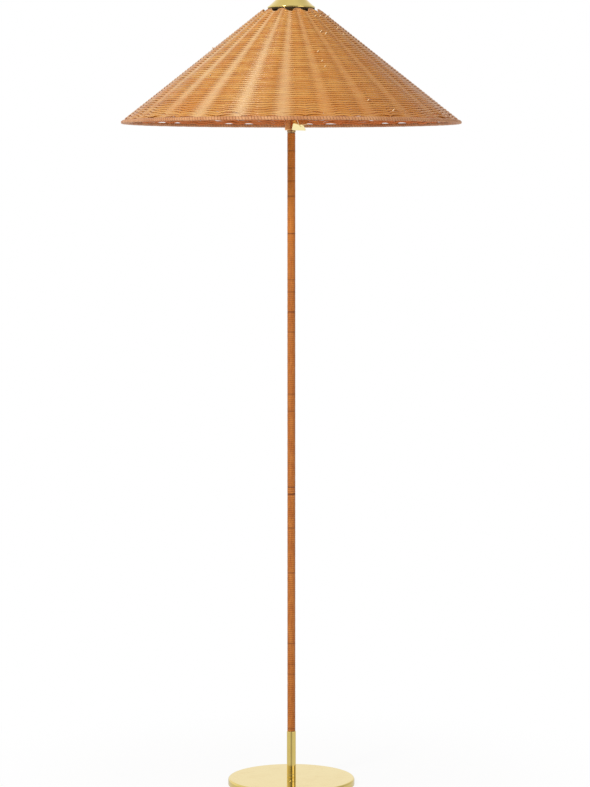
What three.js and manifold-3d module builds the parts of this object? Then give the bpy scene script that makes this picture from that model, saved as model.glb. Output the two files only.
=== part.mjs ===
// Rattan floor lamp: a wide woven cone shade over a slim stem wrapped in cane,
// on a brass foot tube and a thin round brass base.
// Millimetres, +Z up, the origin on the floor under the middle of the base.
// The front of the lamp faces -Y.

import * as THREE from "three";
import { mergeVertices, toCreasedNormals } from "three/addons/utils/BufferGeometryUtils.js";
import Module from "manifold-3d";

const wasm = await Module();
wasm.setup();

// Clearances
const SEAT_GAP = 0.3; // between two pieces that rest on each other
const BORE_GAP = 0.3; // between a bore and what passes through it
const RUN_GAP = 0.1; // between a turning shaft and its bearing
const CUT_OVERRUN = 1; // how far a cutting shape runs past what it cuts

// Ground plate
const BASE_RADIUS = 112.5;
const BASE_HEIGHT = 12;
const PAD_THICKNESS = 1.5;
const PAD_INSET = 6;
const COVER_WALL = 1.2;
const COVER_EDGE_RADIUS = 3.5;
const COVER_FLOOR_GAP = 0.8;
const NUT_WALL = 2.7; // from its bore to its flats
const NUT_HEIGHT = 2.8;
const WASHER_WIDTH = 6;
const WASHER_THICKNESS = 1;
const RECESS_MARGIN = 2;
const STEM_TAIL = 0.5;

// Foot
const FOOT_WALL = 2.5;
const FOOT_HEIGHT = 83;
const FOOT_CHAMFER = 0.5;
const COLLAR_HEIGHT = 6.4;
const OUTLET_HEIGHT = 22;

// Stem
const STEM_WALL = 1;
const WRAP_THICKNESS = 1.6;
const LOWER_WRAP_LENGTH = 424;
const UPPER_WRAP_LENGTH = 627;
const JOINT_LENGTH = 12;
const COUPLER_WALL = 1;
const COUPLER_LENGTH = 40;
const TOP_RING_WALL = 2.3;
const TOP_RING_HEIGHT = 3.5;

// Inner cable and the gland at the back of the foot
const CABLE_RADIUS = 2.1;
const CABLE_ROOM = 1; // between the cable and the stem's coupler
const CABLE_BEND_RADIUS = 6;
const GLAND_WALL = 0.9;
const GLAND_FLANGE_WIDTH = 1.6;
const GLAND_PROUD = 3;

// Switch
const TOP_NUT_WALL = 1.9; // from its bore to its flats
const TOP_NUT_HEIGHT = 2.8;
const TOP_NUT_ROOM = 1.45; // between the nut's corners and the housing
const HOUSING_WALL = 1.5;
const HOUSING_FLOOR = 2;
const HOUSING_HEIGHT = 26;
const LID_THICKNESS = 1.5;
const KEY_AZIMUTH = THREE.MathUtils.degToRad(35);
const SPINDLE_RADIUS = 1.8;
const SPINDLE_HEIGHT = 9;
const SPINDLE_DEPTH = 6.5;
const BUSH_WALL = 1.1;
const BUSH_FLANGE_WIDTH = 1.4;
const BUSH_FLANGE_THICKNESS = 2;
const KEY_REACH = 29.5;
const KEY_WIDTH = 34;
const KEY_HEIGHT = 21;
const KEY_THICKNESS = 1.8;
const KEY_SWEEP = THREE.MathUtils.degToRad(-18);
const KEY_HUB_RADIUS = 3.6;
const KEY_HUB_LENGTH = 7;
// Corners of the two wings, as shares of the key's width and height from its hub
const LOWER_WING_SHARES = [[-0.14, 0.05], [-0.52, 0.17], [-0.51, -0.47], [0.38, -0.49], [0.17, -0.03]];
const UPPER_WING_SHARES = [[0.17, -0.03], [0.43, 0.08], [0.46, 0.48], [-0.2, 0.51], [-0.14, 0.05]];
const WING_CORNER_SHARE = 0.12; // how much of each edge a rounded corner takes

// Lampholder and bulb
const NIPPLE_RADIUS = 5;
const NIPPLE_WALL = 1.8;
const NIPPLE_TAIL = 3.6; // how far it reaches down below the lid
const HOLDER_CAP_HEIGHT = 9;
const HOLDER_CAP_RIM = 1;
const HOLDER_RADIUS = 20.5;
const HOLDER_WALL = 1.4;
const HOLDER_SHELL_HEIGHT = 35;
const CORE_HEIGHT = 8;
const CONTACT_RADIUS = 4;
const CONTACT_HEIGHT = 2;
const SLEEVE_WALL = 1;
const SLEEVE_HEIGHT = 23;
const BULB_BASE_RADIUS = 13.2;
const BULB_BASE_HEIGHT = 24;
const BULB_SHOULDER_HEIGHT = 4.5;
const BULB_TIP_RADIUS = 4.5;
const BULB_TIP_HEIGHT = 2.4;
const BULB_RADIUS = 30;
const BULB_HEIGHT = 78;
const GLASS_WALL = 0.9;

// Shade carrier
const SADDLE_THICKNESS = 1.5;
const SADDLE_MARGIN = 1.7; // beside its hole for the nipple
const SADDLE_EAR_HEIGHT = 9;
const EAR_ROOM = 4.7; // between the lampholder and the saddle's ears
const BOW_ROD_RADIUS = 2;
const BULB_SIDE_ROOM = 15; // from the bulb out to the bow's middle line
const BULB_HEADROOM = 39.6; // from the bulb up to the bow's middle line
const BOW_SHOULDER_SHARE = 0.72; // height of the bow's shoulder, as a share of its height
const BOW_WIDEST_SHARE = 0.3; // height of its widest point, the same way
const STUD_RADIUS = 3;
const STUD_SEAT_RADIUS = 7;
const STUD_SEAT_HEIGHT = 8;
const SEAT_WASHER_WIDTH = 5;
const SEAT_WASHER_THICKNESS = 1.5;

// Shade
const SHADE_RADIUS = 300;
const SHADE_TOP_RADIUS = 49.5;
const SHADE_SLOPE = THREE.MathUtils.degToRad(38.4);
const WEAVE_THICKNESS = 8.4;
const RIM_WRAP_THICKNESS = 1;
const RIM_WRAP_LENGTH = 8;
const RIM_SLIT = 3;
const STAKES = 24;
const STAKE_TURN = THREE.MathUtils.degToRad(4.8); // of the first stake, round from the lamp's right
const STAKE_RADIUS = 1.8; // the rim's core is of the same rod
const BORDER_RADIUS = 2.4;
const TOP_RING_ROD_RADIUS = 1.8;
const TOP_RING_INSET = 5;
const SPIDER_ARMS = 3;
const SPIDER_ARM_RADIUS = 1.5;
const SPIDER_EYE_WIDTH = 8;
const SPIDER_EYE_THICKNESS = 3.2;

// Cap and finial
const CAP_RADIUS = 42;
const CAP_HEIGHT = 38;
const CAP_LIFT = 1.5; // from the top of the weave up to the cap's lip
const CAP_WALL = 1;
const CAP_NECK_RADIUS = 8;
const CAP_LIP_HEIGHT = 1.6;
const CAP_BEND_SHARES = [0.46, 0.42]; // where its side bends, across its reach and up its height
const SPACER_WALL = 2;
const FINIAL_RADIUS = 8;
const FINIAL_NECK_RADIUS = 4.8;
const FINIAL_HEIGHT = 26;
const FINIAL_THREAD_DEPTH = 12;

// How finely round shapes are faceted
const LARGE_SEGMENTS = 3 * STAKES;
const BASE_SEGMENTS = 48;
const CAP_SEGMENTS = 36;
const CAP_STEPS = 5;
const TUBE_SEGMENTS = 24;
const SMALL_SEGMENTS = 20;
const WIRE_SEGMENTS = 8;
const STAKE_SEGMENTS = 6;
const BOW_STEPS = 28;
const BEND_STEPS = 8;
const ARC_STEPS = 3;
const BALL_STEPS = 8;
const HEX = 6;

// Heights worked out from the floor up
const tubeEndZ = PAD_THICKNESS + 2 * SEAT_GAP;
const nutZ = tubeEndZ + STEM_TAIL;
const washerZ = nutZ + NUT_HEIGHT + SEAT_GAP;
const recessTopZ = washerZ + WASHER_THICKNESS + SEAT_GAP;
const weightTopZ = BASE_HEIGHT - COVER_WALL - SEAT_GAP;
const footTopZ = BASE_HEIGHT + FOOT_HEIGHT;
const jointZ = footTopZ + SEAT_GAP + LOWER_WRAP_LENGTH;
const jointTopZ = jointZ + JOINT_LENGTH;
const topRingZ = jointTopZ + UPPER_WRAP_LENGTH;
const housingZ = topRingZ + TOP_RING_HEIGHT + SEAT_GAP;
const outletZ = BASE_HEIGHT + OUTLET_HEIGHT;
const topNutZ = housingZ + HOUSING_FLOOR + SEAT_GAP;
const spindleZ = housingZ + SPINDLE_HEIGHT;
const switchBodyZ = topNutZ + TOP_NUT_HEIGHT + SEAT_GAP;
const lidZ = housingZ + HOUSING_HEIGHT + SEAT_GAP;
const saddleZ = lidZ + LID_THICKNESS + SEAT_GAP;
const holderCapZ = saddleZ + SADDLE_THICKNESS + SEAT_GAP;
const nippleZ = lidZ - NIPPLE_TAIL;
const holderShellZ = holderCapZ + HOLDER_CAP_HEIGHT + SEAT_GAP;
const nippleTopZ = holderShellZ - SEAT_GAP;
const contactZ = holderShellZ + CORE_HEIGHT + SEAT_GAP;
const bulbTipZ = contactZ + CONTACT_HEIGHT + SEAT_GAP;
const bulbBaseZ = bulbTipZ + BULB_TIP_HEIGHT;
const bulbGlassZ = bulbBaseZ + BULB_BASE_HEIGHT + SEAT_GAP;
const bowFootZ = saddleZ + SADDLE_THICKNESS + SEAT_GAP;
const bowTopZ = bulbGlassZ + BULB_HEIGHT + BULB_HEADROOM;
const studSeatTopZ = bowTopZ + STUD_SEAT_HEIGHT / 2;
const seatWasherZ = studSeatTopZ + SEAT_GAP;
const eyeZ = seatWasherZ + SEAT_WASHER_THICKNESS + SEAT_GAP;
const spiderZ = eyeZ + SPIDER_EYE_THICKNESS / 2;

// Radii worked out from the cable outwards
const couplerRadius = CABLE_RADIUS + CABLE_ROOM + COUPLER_WALL;
const stemBore = couplerRadius + RUN_GAP;
const stemRadius = stemBore + STEM_WALL;
const sleeveBore = stemRadius + BORE_GAP;
const wrapRadius = sleeveBore + WRAP_THICKNESS;
const footRadius = sleeveBore + FOOT_WALL;
const glandBore = CABLE_RADIUS + BORE_GAP;
const glandRadius = glandBore + GLAND_WALL;
const topNutCorner = nutCorner(sleeveBore, TOP_NUT_WALL);
const housingBore = topNutCorner + TOP_NUT_ROOM;
const housingRadius = housingBore + HOUSING_WALL;

// From a hexagon nut's middle out to its corners
function nutCorner(bore, wall) {
  return (bore + wall) / Math.cos(Math.PI / HEX);
}

// The shade's middle surface is a straight line in the (radius, height) plane.
// Its places are given as a distance up the slope and one square to it, outwards.
// The shade hangs on its top ring, so its rim's height follows from there.
const rimHalf = STAKE_RADIUS + BORE_GAP + RIM_WRAP_THICKNESS;
const slopeRadius = SHADE_RADIUS - rimHalf;
const slant = (slopeRadius - SHADE_TOP_RADIUS) / Math.cos(SHADE_SLOPE);
const topRingAlong = slant - TOP_RING_INSET;
const topRingOut = -(WEAVE_THICKNESS / 2 + SEAT_GAP + TOP_RING_ROD_RADIUS);
const topRingRise = topRingAlong * Math.sin(SHADE_SLOPE) + topRingOut * Math.cos(SHADE_SLOPE);
const slopeZ = spiderZ - topRingRise;
const rimTop = RIM_WRAP_LENGTH - rimHalf;
const weaveStart = rimTop + RIM_SLIT;
const borderAlong = slant - BORDER_RADIUS;
const weaveEnd = borderAlong - BORDER_RADIUS - SEAT_GAP;

function slopePoint(along, out) {
  const radius = slopeRadius - along * Math.cos(SHADE_SLOPE) + out * Math.sin(SHADE_SLOPE);
  const height = slopeZ + along * Math.sin(SHADE_SLOPE) + out * Math.cos(SHADE_SLOPE);
  return [radius, height];
}

// An outline drawn anticlockwise in these two directions comes out clockwise, so it is reversed
function slopeProfile(points) {
  return points.map(([along, out]) => slopePoint(along, out)).reverse();
}

const topRingRadius = slopePoint(topRingAlong, topRingOut)[0];
const weaveTopZ = slopePoint(slant, WEAVE_THICKNESS / 2)[1];
const capZ = weaveTopZ + CAP_LIFT;
const capTopZ = capZ + CAP_HEIGHT;
const spacerZ = eyeZ + SPIDER_EYE_THICKNESS + SEAT_GAP;
const finialZ = capTopZ + SEAT_GAP;
const studTopZ = finialZ + FINIAL_THREAD_DEPTH - SEAT_GAP;

// Materials
function finish(color, roughness, metalness) {
  return new THREE.MeshStandardMaterial({ color, roughness, metalness });
}

const brass = finish(0xd9c77a, 0.2, 1);
const steel = finish(0x9a9a98, 0.4, 1);
const iron = finish(0x3c3a38, 0.8, 0.5);
const felt = finish(0x2c2a28, 1, 0);
const rattan = finish(0xcf9150, 0.6, 0);
const cane = finish(0xb5733e, 0.55, 0);
const rubber = finish(0x1c1a18, 0.7, 0);
const plastic = finish(0x241f1c, 0.5, 0);
const ceramic = finish(0xe9e4da, 0.35, 0);
const opal = finish(0xf4f0e6, 0.3, 0);

// Helpers: turned shapes, rods, and joins and cuts of closed bodies

function turned(profile, segments) {
  const points = profile.map(([radius, height]) => new THREE.Vector2(radius, height));
  return new THREE.LatheGeometry(points, segments).rotateX(Math.PI / 2);
}

function disc(radius, height, segments) {
  return turned([[0, 0], [radius, 0], [radius, height], [0, height]], segments);
}

function tube(outer, inner, height, segments) {
  return turned([[inner, 0], [outer, 0], [outer, height], [inner, height], [inner, 0]], segments);
}

function arc(centre, radius, from, to, steps) {
  const points = [];
  for (let i = 0; i <= steps; i += 1) {
    const angle = from + ((to - from) * i) / steps;
    points.push([centre[0] + radius * Math.cos(angle), centre[1] + radius * Math.sin(angle)]);
  }
  return points;
}

function toSolid(geometry) {
  const bare = geometry.clone();
  bare.deleteAttribute("normal");
  bare.deleteAttribute("uv");
  const merged = mergeVertices(bare);
  const mesh = new wasm.Mesh({
    numProp: 3,
    vertProperties: merged.attributes.position.array,
    triVerts: new Uint32Array(merged.index.array),
  });
  return new wasm.Manifold(mesh);
}

function toGeometry(solid) {
  const mesh = solid.getMesh();
  const geometry = new THREE.BufferGeometry();
  geometry.setAttribute("position", new THREE.BufferAttribute(mesh.vertProperties, 3));
  geometry.setIndex(new THREE.BufferAttribute(mesh.triVerts, 1));
  return geometry;
}

function cut(body, tools) {
  const result = tools.reduce((solid, tool) => solid.subtract(toSolid(tool)), toSolid(body));
  return toGeometry(result);
}

function join(bodies) {
  const result = bodies.map(toSolid).reduce((whole, solid) => whole.add(solid));
  return toGeometry(result);
}

function hexNut(corner, bore, height) {
  const hole = disc(bore, height + 2 * CUT_OVERRUN, TUBE_SEGMENTS).translate(0, 0, -CUT_OVERRUN);
  return cut(disc(corner, height, HEX), [hole]);
}

// A round rod whose axis runs from one point to another
function rodBetween(start, end, radius, segments) {
  const axis = new THREE.Vector3().subVectors(end, start);
  const rod = new THREE.CylinderGeometry(radius, radius, axis.length(), segments);
  const rodUp = new THREE.Vector3(0, 1, 0);
  const turn = new THREE.Quaternion().setFromUnitVectors(rodUp, axis.clone().normalize());
  const middle = new THREE.Vector3().addVectors(start, end).multiplyScalar(0.5);
  return rod.applyQuaternion(turn).translate(middle.x, middle.y, middle.z);
}

function rodAlong(curve, radius, segments, steps) {
  const section = new THREE.Shape().absarc(0, 0, radius, 0, 2 * Math.PI);
  const settings = { steps, curveSegments: segments / 2, extrudePath: curve, bevelEnabled: false };
  return new THREE.ExtrudeGeometry(section, settings);
}

function addPiece(group, name, geometry, material, z = 0) {
  const piece = new THREE.Mesh(toCreasedNormals(geometry, Math.PI / 6), material);
  piece.name = name;
  piece.position.z = z;
  group.add(piece);
  return piece;
}

// The direction from the stem's axis to the key
const keyDirection = new THREE.Vector3(Math.sin(KEY_AZIMUTH), -Math.cos(KEY_AZIMUTH), 0);

function alongSpindle(distance) {
  return keyDirection.clone().multiplyScalar(distance);
}

const lamp = new THREE.Group();

// Ground plate: a felt pad, an iron weight and a pressed brass cover over it
function groundPlate() {
  const group = new THREE.Group();
  addPiece(group, "base_pad", disc(BASE_RADIUS - PAD_INSET, PAD_THICKNESS, BASE_SEGMENTS), felt);

  const edgeCentre = [BASE_RADIUS - COVER_EDGE_RADIUS, BASE_HEIGHT - COVER_EDGE_RADIUS];
  const outerEdge = arc(edgeCentre, COVER_EDGE_RADIUS, 0, Math.PI / 2, ARC_STEPS);
  const innerEdge = arc(edgeCentre, COVER_EDGE_RADIUS - COVER_WALL, Math.PI / 2, 0, ARC_STEPS);
  const innerRadius = BASE_RADIUS - COVER_WALL;
  const coverProfile = [
    [sleeveBore, BASE_HEIGHT - COVER_WALL],
    ...innerEdge,
    [innerRadius, COVER_FLOOR_GAP],
    [BASE_RADIUS, COVER_FLOOR_GAP],
    ...outerEdge,
    [sleeveBore, BASE_HEIGHT],
    [sleeveBore, BASE_HEIGHT - COVER_WALL],
  ];
  addPiece(group, "base_cover", turned(coverProfile, BASE_SEGMENTS), brass);

  const weightEdge = arc(edgeCentre, COVER_EDGE_RADIUS - COVER_WALL - SEAT_GAP, 0, Math.PI / 2, ARC_STEPS);
  const recessRadius = sleeveBore + WASHER_WIDTH + RECESS_MARGIN;
  const weightProfile = [
    [recessRadius, PAD_THICKNESS],
    [innerRadius - SEAT_GAP, PAD_THICKNESS],
    ...weightEdge,
    [sleeveBore, weightTopZ],
    [sleeveBore, recessTopZ],
    [recessRadius, recessTopZ],
    [recessRadius, PAD_THICKNESS],
  ];
  addPiece(group, "base_weight", turned(weightProfile, BASE_SEGMENTS), iron);

  const washer = tube(sleeveBore + WASHER_WIDTH, sleeveBore, WASHER_THICKNESS, SMALL_SEGMENTS);
  addPiece(group, "base_washer", washer, steel, washerZ);
  const nut = hexNut(nutCorner(sleeveBore, NUT_WALL), sleeveBore, NUT_HEIGHT);
  addPiece(group, "base_nut", nut, steel, nutZ);
  return group;
}

// Foot: a thin locking collar, the brass foot tube and the gland at its back
function foot() {
  const group = new THREE.Group();
  const collar = tube(footRadius, sleeveBore, COLLAR_HEIGHT - SEAT_GAP, TUBE_SEGMENTS);
  addPiece(group, "foot_collar", collar, brass, BASE_HEIGHT);

  const height = FOOT_HEIGHT - COLLAR_HEIGHT;
  const profile = [
    [sleeveBore, 0],
    [footRadius, 0],
    [footRadius, height - FOOT_CHAMFER],
    [footRadius - FOOT_CHAMFER, height],
    [sleeveBore, height],
    [sleeveBore, 0],
  ];
  const tubeZ = BASE_HEIGHT + COLLAR_HEIGHT;
  const body = turned(profile, TUBE_SEGMENTS);
  const holeZ = outletZ - tubeZ;
  const inside = new THREE.Vector3(0, 0, holeZ);
  const outside = new THREE.Vector3(0, footRadius + CUT_OVERRUN, holeZ);
  const hole = rodBetween(inside, outside, glandRadius + BORE_GAP, SMALL_SEGMENTS);
  addPiece(group, "foot_tube", cut(body, [hole]), brass, tubeZ);

  const flangeEnd = footRadius + GLAND_PROUD;
  const neck = [
    [glandBore, sleeveBore],
    [glandRadius, sleeveBore],
    [glandRadius, footRadius],
    [glandRadius + GLAND_FLANGE_WIDTH, footRadius - GLAND_FLANGE_WIDTH],
    [glandRadius + GLAND_FLANGE_WIDTH, flangeEnd - GLAND_WALL],
    [glandRadius, flangeEnd],
    [glandBore, flangeEnd],
    [glandBore, sleeveBore],
  ];
  const gland = turned(neck, SMALL_SEGMENTS).rotateX(-Math.PI / 2);
  const wall = tube(footRadius + SEAT_GAP, stemBore, 2 * GLAND_PROUD + 2 * footRadius, TUBE_SEGMENTS);
  wall.translate(0, 0, -GLAND_PROUD - footRadius);
  const throat = disc(glandRadius, flangeEnd, SMALL_SEGMENTS);
  const saddleCut = cut(wall, [throat.rotateX(-Math.PI / 2)]);
  addPiece(group, "cord_gland", cut(gland, [saddleCut]), rubber, outletZ);
  return group;
}

// Stem: two steel tubes on a threaded coupler, each under its own wrap of cane
function stem() {
  const group = new THREE.Group();
  const jointMiddleZ = jointZ + JOINT_LENGTH / 2;
  const lowerLength = jointMiddleZ - SEAT_GAP / 2 - tubeEndZ;
  const lowerTube = tube(stemRadius, stemBore, lowerLength, TUBE_SEGMENTS);
  const holeZ = outletZ - tubeEndZ;
  const inside = new THREE.Vector3(0, 0, holeZ);
  const outside = new THREE.Vector3(0, stemRadius + CUT_OVERRUN, holeZ);
  const hole = rodBetween(inside, outside, glandRadius, SMALL_SEGMENTS);
  addPiece(group, "lower_stem_tube", cut(lowerTube, [hole]), steel, tubeEndZ);

  const upperZ = jointMiddleZ + SEAT_GAP / 2;
  const upperEndZ = topNutZ + TOP_NUT_HEIGHT;
  const upperTube = tube(stemRadius, stemBore, upperEndZ - upperZ, TUBE_SEGMENTS);
  addPiece(group, "upper_stem_tube", upperTube, steel, upperZ);

  const coupler = tube(couplerRadius, couplerRadius - COUPLER_WALL, COUPLER_LENGTH, TUBE_SEGMENTS);
  addPiece(group, "stem_coupler", coupler, brass, jointMiddleZ - COUPLER_LENGTH / 2);

  const wraps = [
    ["lower_stem_wrap", footTopZ + SEAT_GAP, LOWER_WRAP_LENGTH - SEAT_GAP],
    ["stem_joint_wrap", jointZ, JOINT_LENGTH - SEAT_GAP],
    ["upper_stem_wrap", jointTopZ, UPPER_WRAP_LENGTH - SEAT_GAP],
  ];
  for (const [name, z, length] of wraps) {
    addPiece(group, name, tube(wrapRadius, sleeveBore, length, TUBE_SEGMENTS), cane, z);
  }
  const ring = tube(sleeveBore + TOP_RING_WALL, sleeveBore, TOP_RING_HEIGHT, TUBE_SEGMENTS);
  addPiece(group, "stem_top_ring", ring, brass, topRingZ);
  return group;
}

// The lead inside the lamp, from the gland up the stem to the switch
function innerCable() {
  const bendCentre = new THREE.Vector3(0, CABLE_BEND_RADIUS, outletZ + CABLE_BEND_RADIUS);
  class Bend extends THREE.Curve {
    getPoint(t, target = new THREE.Vector3()) {
      const angle = (t * Math.PI) / 2;
      const y = bendCentre.y - CABLE_BEND_RADIUS * Math.sin(angle);
      const z = bendCentre.z - CABLE_BEND_RADIUS * Math.cos(angle);
      return target.set(0, y, z);
    }
  }
  const bend = rodAlong(new Bend(), CABLE_RADIUS, WIRE_SEGMENTS, BEND_STEPS);
  const outerEnd = new THREE.Vector3(0, footRadius + GLAND_PROUD - SEAT_GAP, outletZ);
  const bendStart = new THREE.Vector3(0, bendCentre.y - RUN_GAP, outletZ);
  const tail = rodBetween(bendStart, outerEnd, CABLE_RADIUS, WIRE_SEGMENTS);
  const bendEnd = new THREE.Vector3(0, 0, bendCentre.z - RUN_GAP);
  const upperEnd = new THREE.Vector3(0, 0, switchBodyZ - SEAT_GAP);
  const run = rodBetween(bendEnd, upperEnd, CABLE_RADIUS, WIRE_SEGMENTS);
  return join([tail, bend, run]);
}

// One wing of the key: a flat plate with rounded corners, bent back from the hub
function keyWing(shares, sweep) {
  const corners = shares.map(([u, v]) => new THREE.Vector2(u * KEY_WIDTH, v * KEY_HEIGHT));
  const shape = new THREE.Shape();
  shape.moveTo(corners[0].x, corners[0].y);
  for (let i = 1; i < corners.length - 1; i += 1) {
    const before = corners[i].clone().lerp(corners[i - 1], WING_CORNER_SHARE);
    const after = corners[i].clone().lerp(corners[i + 1], WING_CORNER_SHARE);
    shape.lineTo(before.x, before.y);
    shape.quadraticCurveTo(corners[i].x, corners[i].y, after.x, after.y);
  }
  const last = corners[corners.length - 1];
  shape.lineTo(last.x, last.y);
  const settings = { depth: KEY_THICKNESS, bevelEnabled: false, curveSegments: ARC_STEPS };
  const plate = new THREE.ExtrudeGeometry(shape, settings);
  return plate.translate(0, 0, -KEY_THICKNESS / 2).rotateX(sweep);
}

// Switch: a brass housing on the stem's top, its works, and the winged key in front
function switchUnit() {
  const group = new THREE.Group();
  const housingProfile = [
    [sleeveBore, 0],
    [housingRadius, 0],
    [housingRadius, HOUSING_HEIGHT],
    [housingBore, HOUSING_HEIGHT],
    [housingBore, HOUSING_FLOOR],
    [sleeveBore, HOUSING_FLOOR],
    [sleeveBore, 0],
  ];
  const bushRadius = SPINDLE_RADIUS + RUN_GAP + BUSH_WALL;
  const across = alongSpindle(housingRadius + CUT_OVERRUN);
  const lift = new THREE.Vector3(0, 0, SPINDLE_HEIGHT);
  const hole = rodBetween(lift, across.clone().add(lift), bushRadius + BORE_GAP, SMALL_SEGMENTS);
  const housing = cut(turned(housingProfile, TUBE_SEGMENTS), [hole]);
  addPiece(group, "switch_housing", housing, brass, housingZ);

  const nut = hexNut(topNutCorner, sleeveBore, TOP_NUT_HEIGHT);
  addPiece(group, "stem_top_nut", nut, steel, topNutZ);

  const bodyRadius = housingBore - BORE_GAP;
  const bodyHeight = nippleZ - SEAT_GAP - switchBodyZ;
  const shaftLift = new THREE.Vector3(0, 0, spindleZ - switchBodyZ);
  const pocketStart = alongSpindle(SPINDLE_DEPTH - BORE_GAP).add(shaftLift);
  const pocketEnd = across.clone().add(shaftLift);
  const pocket = rodBetween(pocketStart, pocketEnd, bushRadius + BORE_GAP, SMALL_SEGMENTS);
  const body = cut(disc(bodyRadius, bodyHeight, TUBE_SEGMENTS), [pocket]);
  addPiece(group, "switch_body", body, plastic, switchBodyZ);
  const lid = tube(housingRadius, NIPPLE_RADIUS + BORE_GAP, LID_THICKNESS, TUBE_SEGMENTS);
  addPiece(group, "housing_lid", lid, brass, lidZ);
  const nipple = tube(NIPPLE_RADIUS, NIPPLE_RADIUS - NIPPLE_WALL, nippleTopZ - nippleZ, SMALL_SEGMENTS);
  addPiece(group, "holder_nipple", nipple, steel, nippleZ);

  // These three are turned about the spindle's own axis and then swung into place
  const spindleGroup = new THREE.Group();
  spindleGroup.position.z = spindleZ;
  spindleGroup.quaternion.setFromRotationMatrix(
    new THREE.Matrix4().makeBasis(
      new THREE.Vector3(Math.cos(KEY_AZIMUTH), Math.sin(KEY_AZIMUTH), 0),
      new THREE.Vector3(0, 0, 1),
      keyDirection,
    ),
  );
  const flangeStart = housingRadius + SEAT_GAP;
  const bushBore = SPINDLE_RADIUS + RUN_GAP;
  const bushProfile = [
    [bushBore, housingBore],
    [bushRadius, housingBore],
    [bushRadius, flangeStart],
    [bushRadius + BUSH_FLANGE_WIDTH, flangeStart],
    [bushRadius + BUSH_FLANGE_WIDTH, flangeStart + BUSH_FLANGE_THICKNESS],
    [bushBore, flangeStart + BUSH_FLANGE_THICKNESS],
    [bushBore, housingBore],
  ];
  addPiece(spindleGroup, "switch_bush", turned(bushProfile, SMALL_SEGMENTS), brass);

  const hubStart = KEY_REACH - KEY_HUB_LENGTH / 2;
  const blindBore = SPINDLE_RADIUS + BORE_GAP;
  const spindle = disc(SPINDLE_RADIUS, KEY_REACH - SPINDLE_DEPTH, SMALL_SEGMENTS);
  addPiece(spindleGroup, "switch_spindle", spindle, steel, SPINDLE_DEPTH);

  const hub = disc(KEY_HUB_RADIUS, KEY_HUB_LENGTH, SMALL_SEGMENTS).translate(0, 0, hubStart);
  const wings = [
    keyWing(LOWER_WING_SHARES, -KEY_SWEEP).translate(0, 0, KEY_REACH),
    keyWing(UPPER_WING_SHARES, KEY_SWEEP).translate(0, 0, KEY_REACH),
  ];
  const socketStart = hubStart - CUT_OVERRUN;
  const socket = disc(blindBore, KEY_REACH + SEAT_GAP - socketStart, SMALL_SEGMENTS);
  const key = cut(join([hub, ...wings]), [socket.translate(0, 0, socketStart)]);
  addPiece(spindleGroup, "switch_key", key, brass);
  group.add(spindleGroup);
  return group;
}

// Lampholder and bulb
function lampholder() {
  const group = new THREE.Group();
  const bore = NIPPLE_RADIUS + BORE_GAP;
  const capProfile = [
    [bore, 0],
    [housingRadius, 0],
    [HOLDER_RADIUS, HOLDER_CAP_HEIGHT - HOLDER_CAP_RIM],
    [HOLDER_RADIUS, HOLDER_CAP_HEIGHT],
    [HOLDER_RADIUS - HOLDER_WALL, HOLDER_CAP_HEIGHT],
    [housingRadius - HOLDER_WALL, HOLDER_WALL],
    [bore, HOLDER_WALL],
    [bore, 0],
  ];
  addPiece(group, "lampholder_cap", turned(capProfile, TUBE_SEGMENTS), brass, holderCapZ);

  const shellBore = HOLDER_RADIUS - HOLDER_WALL;
  const shell = tube(HOLDER_RADIUS, shellBore, HOLDER_SHELL_HEIGHT, TUBE_SEGMENTS);
  addPiece(group, "lampholder_shell", shell, brass, holderShellZ);
  const core = disc(shellBore - BORE_GAP, CORE_HEIGHT, TUBE_SEGMENTS);
  addPiece(group, "lampholder_core", core, ceramic, holderShellZ);
  const contact = disc(CONTACT_RADIUS, CONTACT_HEIGHT, SMALL_SEGMENTS);
  addPiece(group, "centre_contact", contact, brass, contactZ);

  const sleeveInner = BULB_BASE_RADIUS + BORE_GAP;
  const sleeve = tube(sleeveInner + SLEEVE_WALL, sleeveInner, SLEEVE_HEIGHT, TUBE_SEGMENTS);
  addPiece(group, "thread_sleeve", sleeve, brass, contactZ);

  // The bulb's glass is a thin shell that is open into its base
  const neckRadius = BULB_BASE_RADIUS - BORE_GAP;
  const centre = [0, BULB_HEIGHT - BULB_RADIUS];
  const low = Math.asin(neckRadius / BULB_RADIUS) - Math.PI / 2;
  const outer = arc(centre, BULB_RADIUS, low, Math.PI / 2, BALL_STEPS);
  const inner = arc(centre, BULB_RADIUS - GLASS_WALL, Math.PI / 2, low, BALL_STEPS);
  const glassProfile = [
    [neckRadius, 0],
    ...outer,
    ...inner,
    [neckRadius - GLASS_WALL, 0],
    [neckRadius, 0],
  ];
  const onAxis = glassProfile.map(([radius, height]) => [Math.max(radius, 0), height]);
  addPiece(group, "bulb_glass", turned(onAxis, TUBE_SEGMENTS), opal, bulbGlassZ);

  const baseProfile = [
    [0, 0],
    [BULB_TIP_RADIUS, 0],
    [BULB_BASE_RADIUS, BULB_SHOULDER_HEIGHT],
    [BULB_BASE_RADIUS, BULB_BASE_HEIGHT],
    [0, BULB_BASE_HEIGHT],
  ];
  addPiece(group, "bulb_base", turned(baseProfile, TUBE_SEGMENTS), steel, bulbBaseZ);
  addPiece(group, "bulb_tip", disc(BULB_TIP_RADIUS, BULB_TIP_HEIGHT, SMALL_SEGMENTS), steel, bulbTipZ);
  return group;
}

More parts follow.
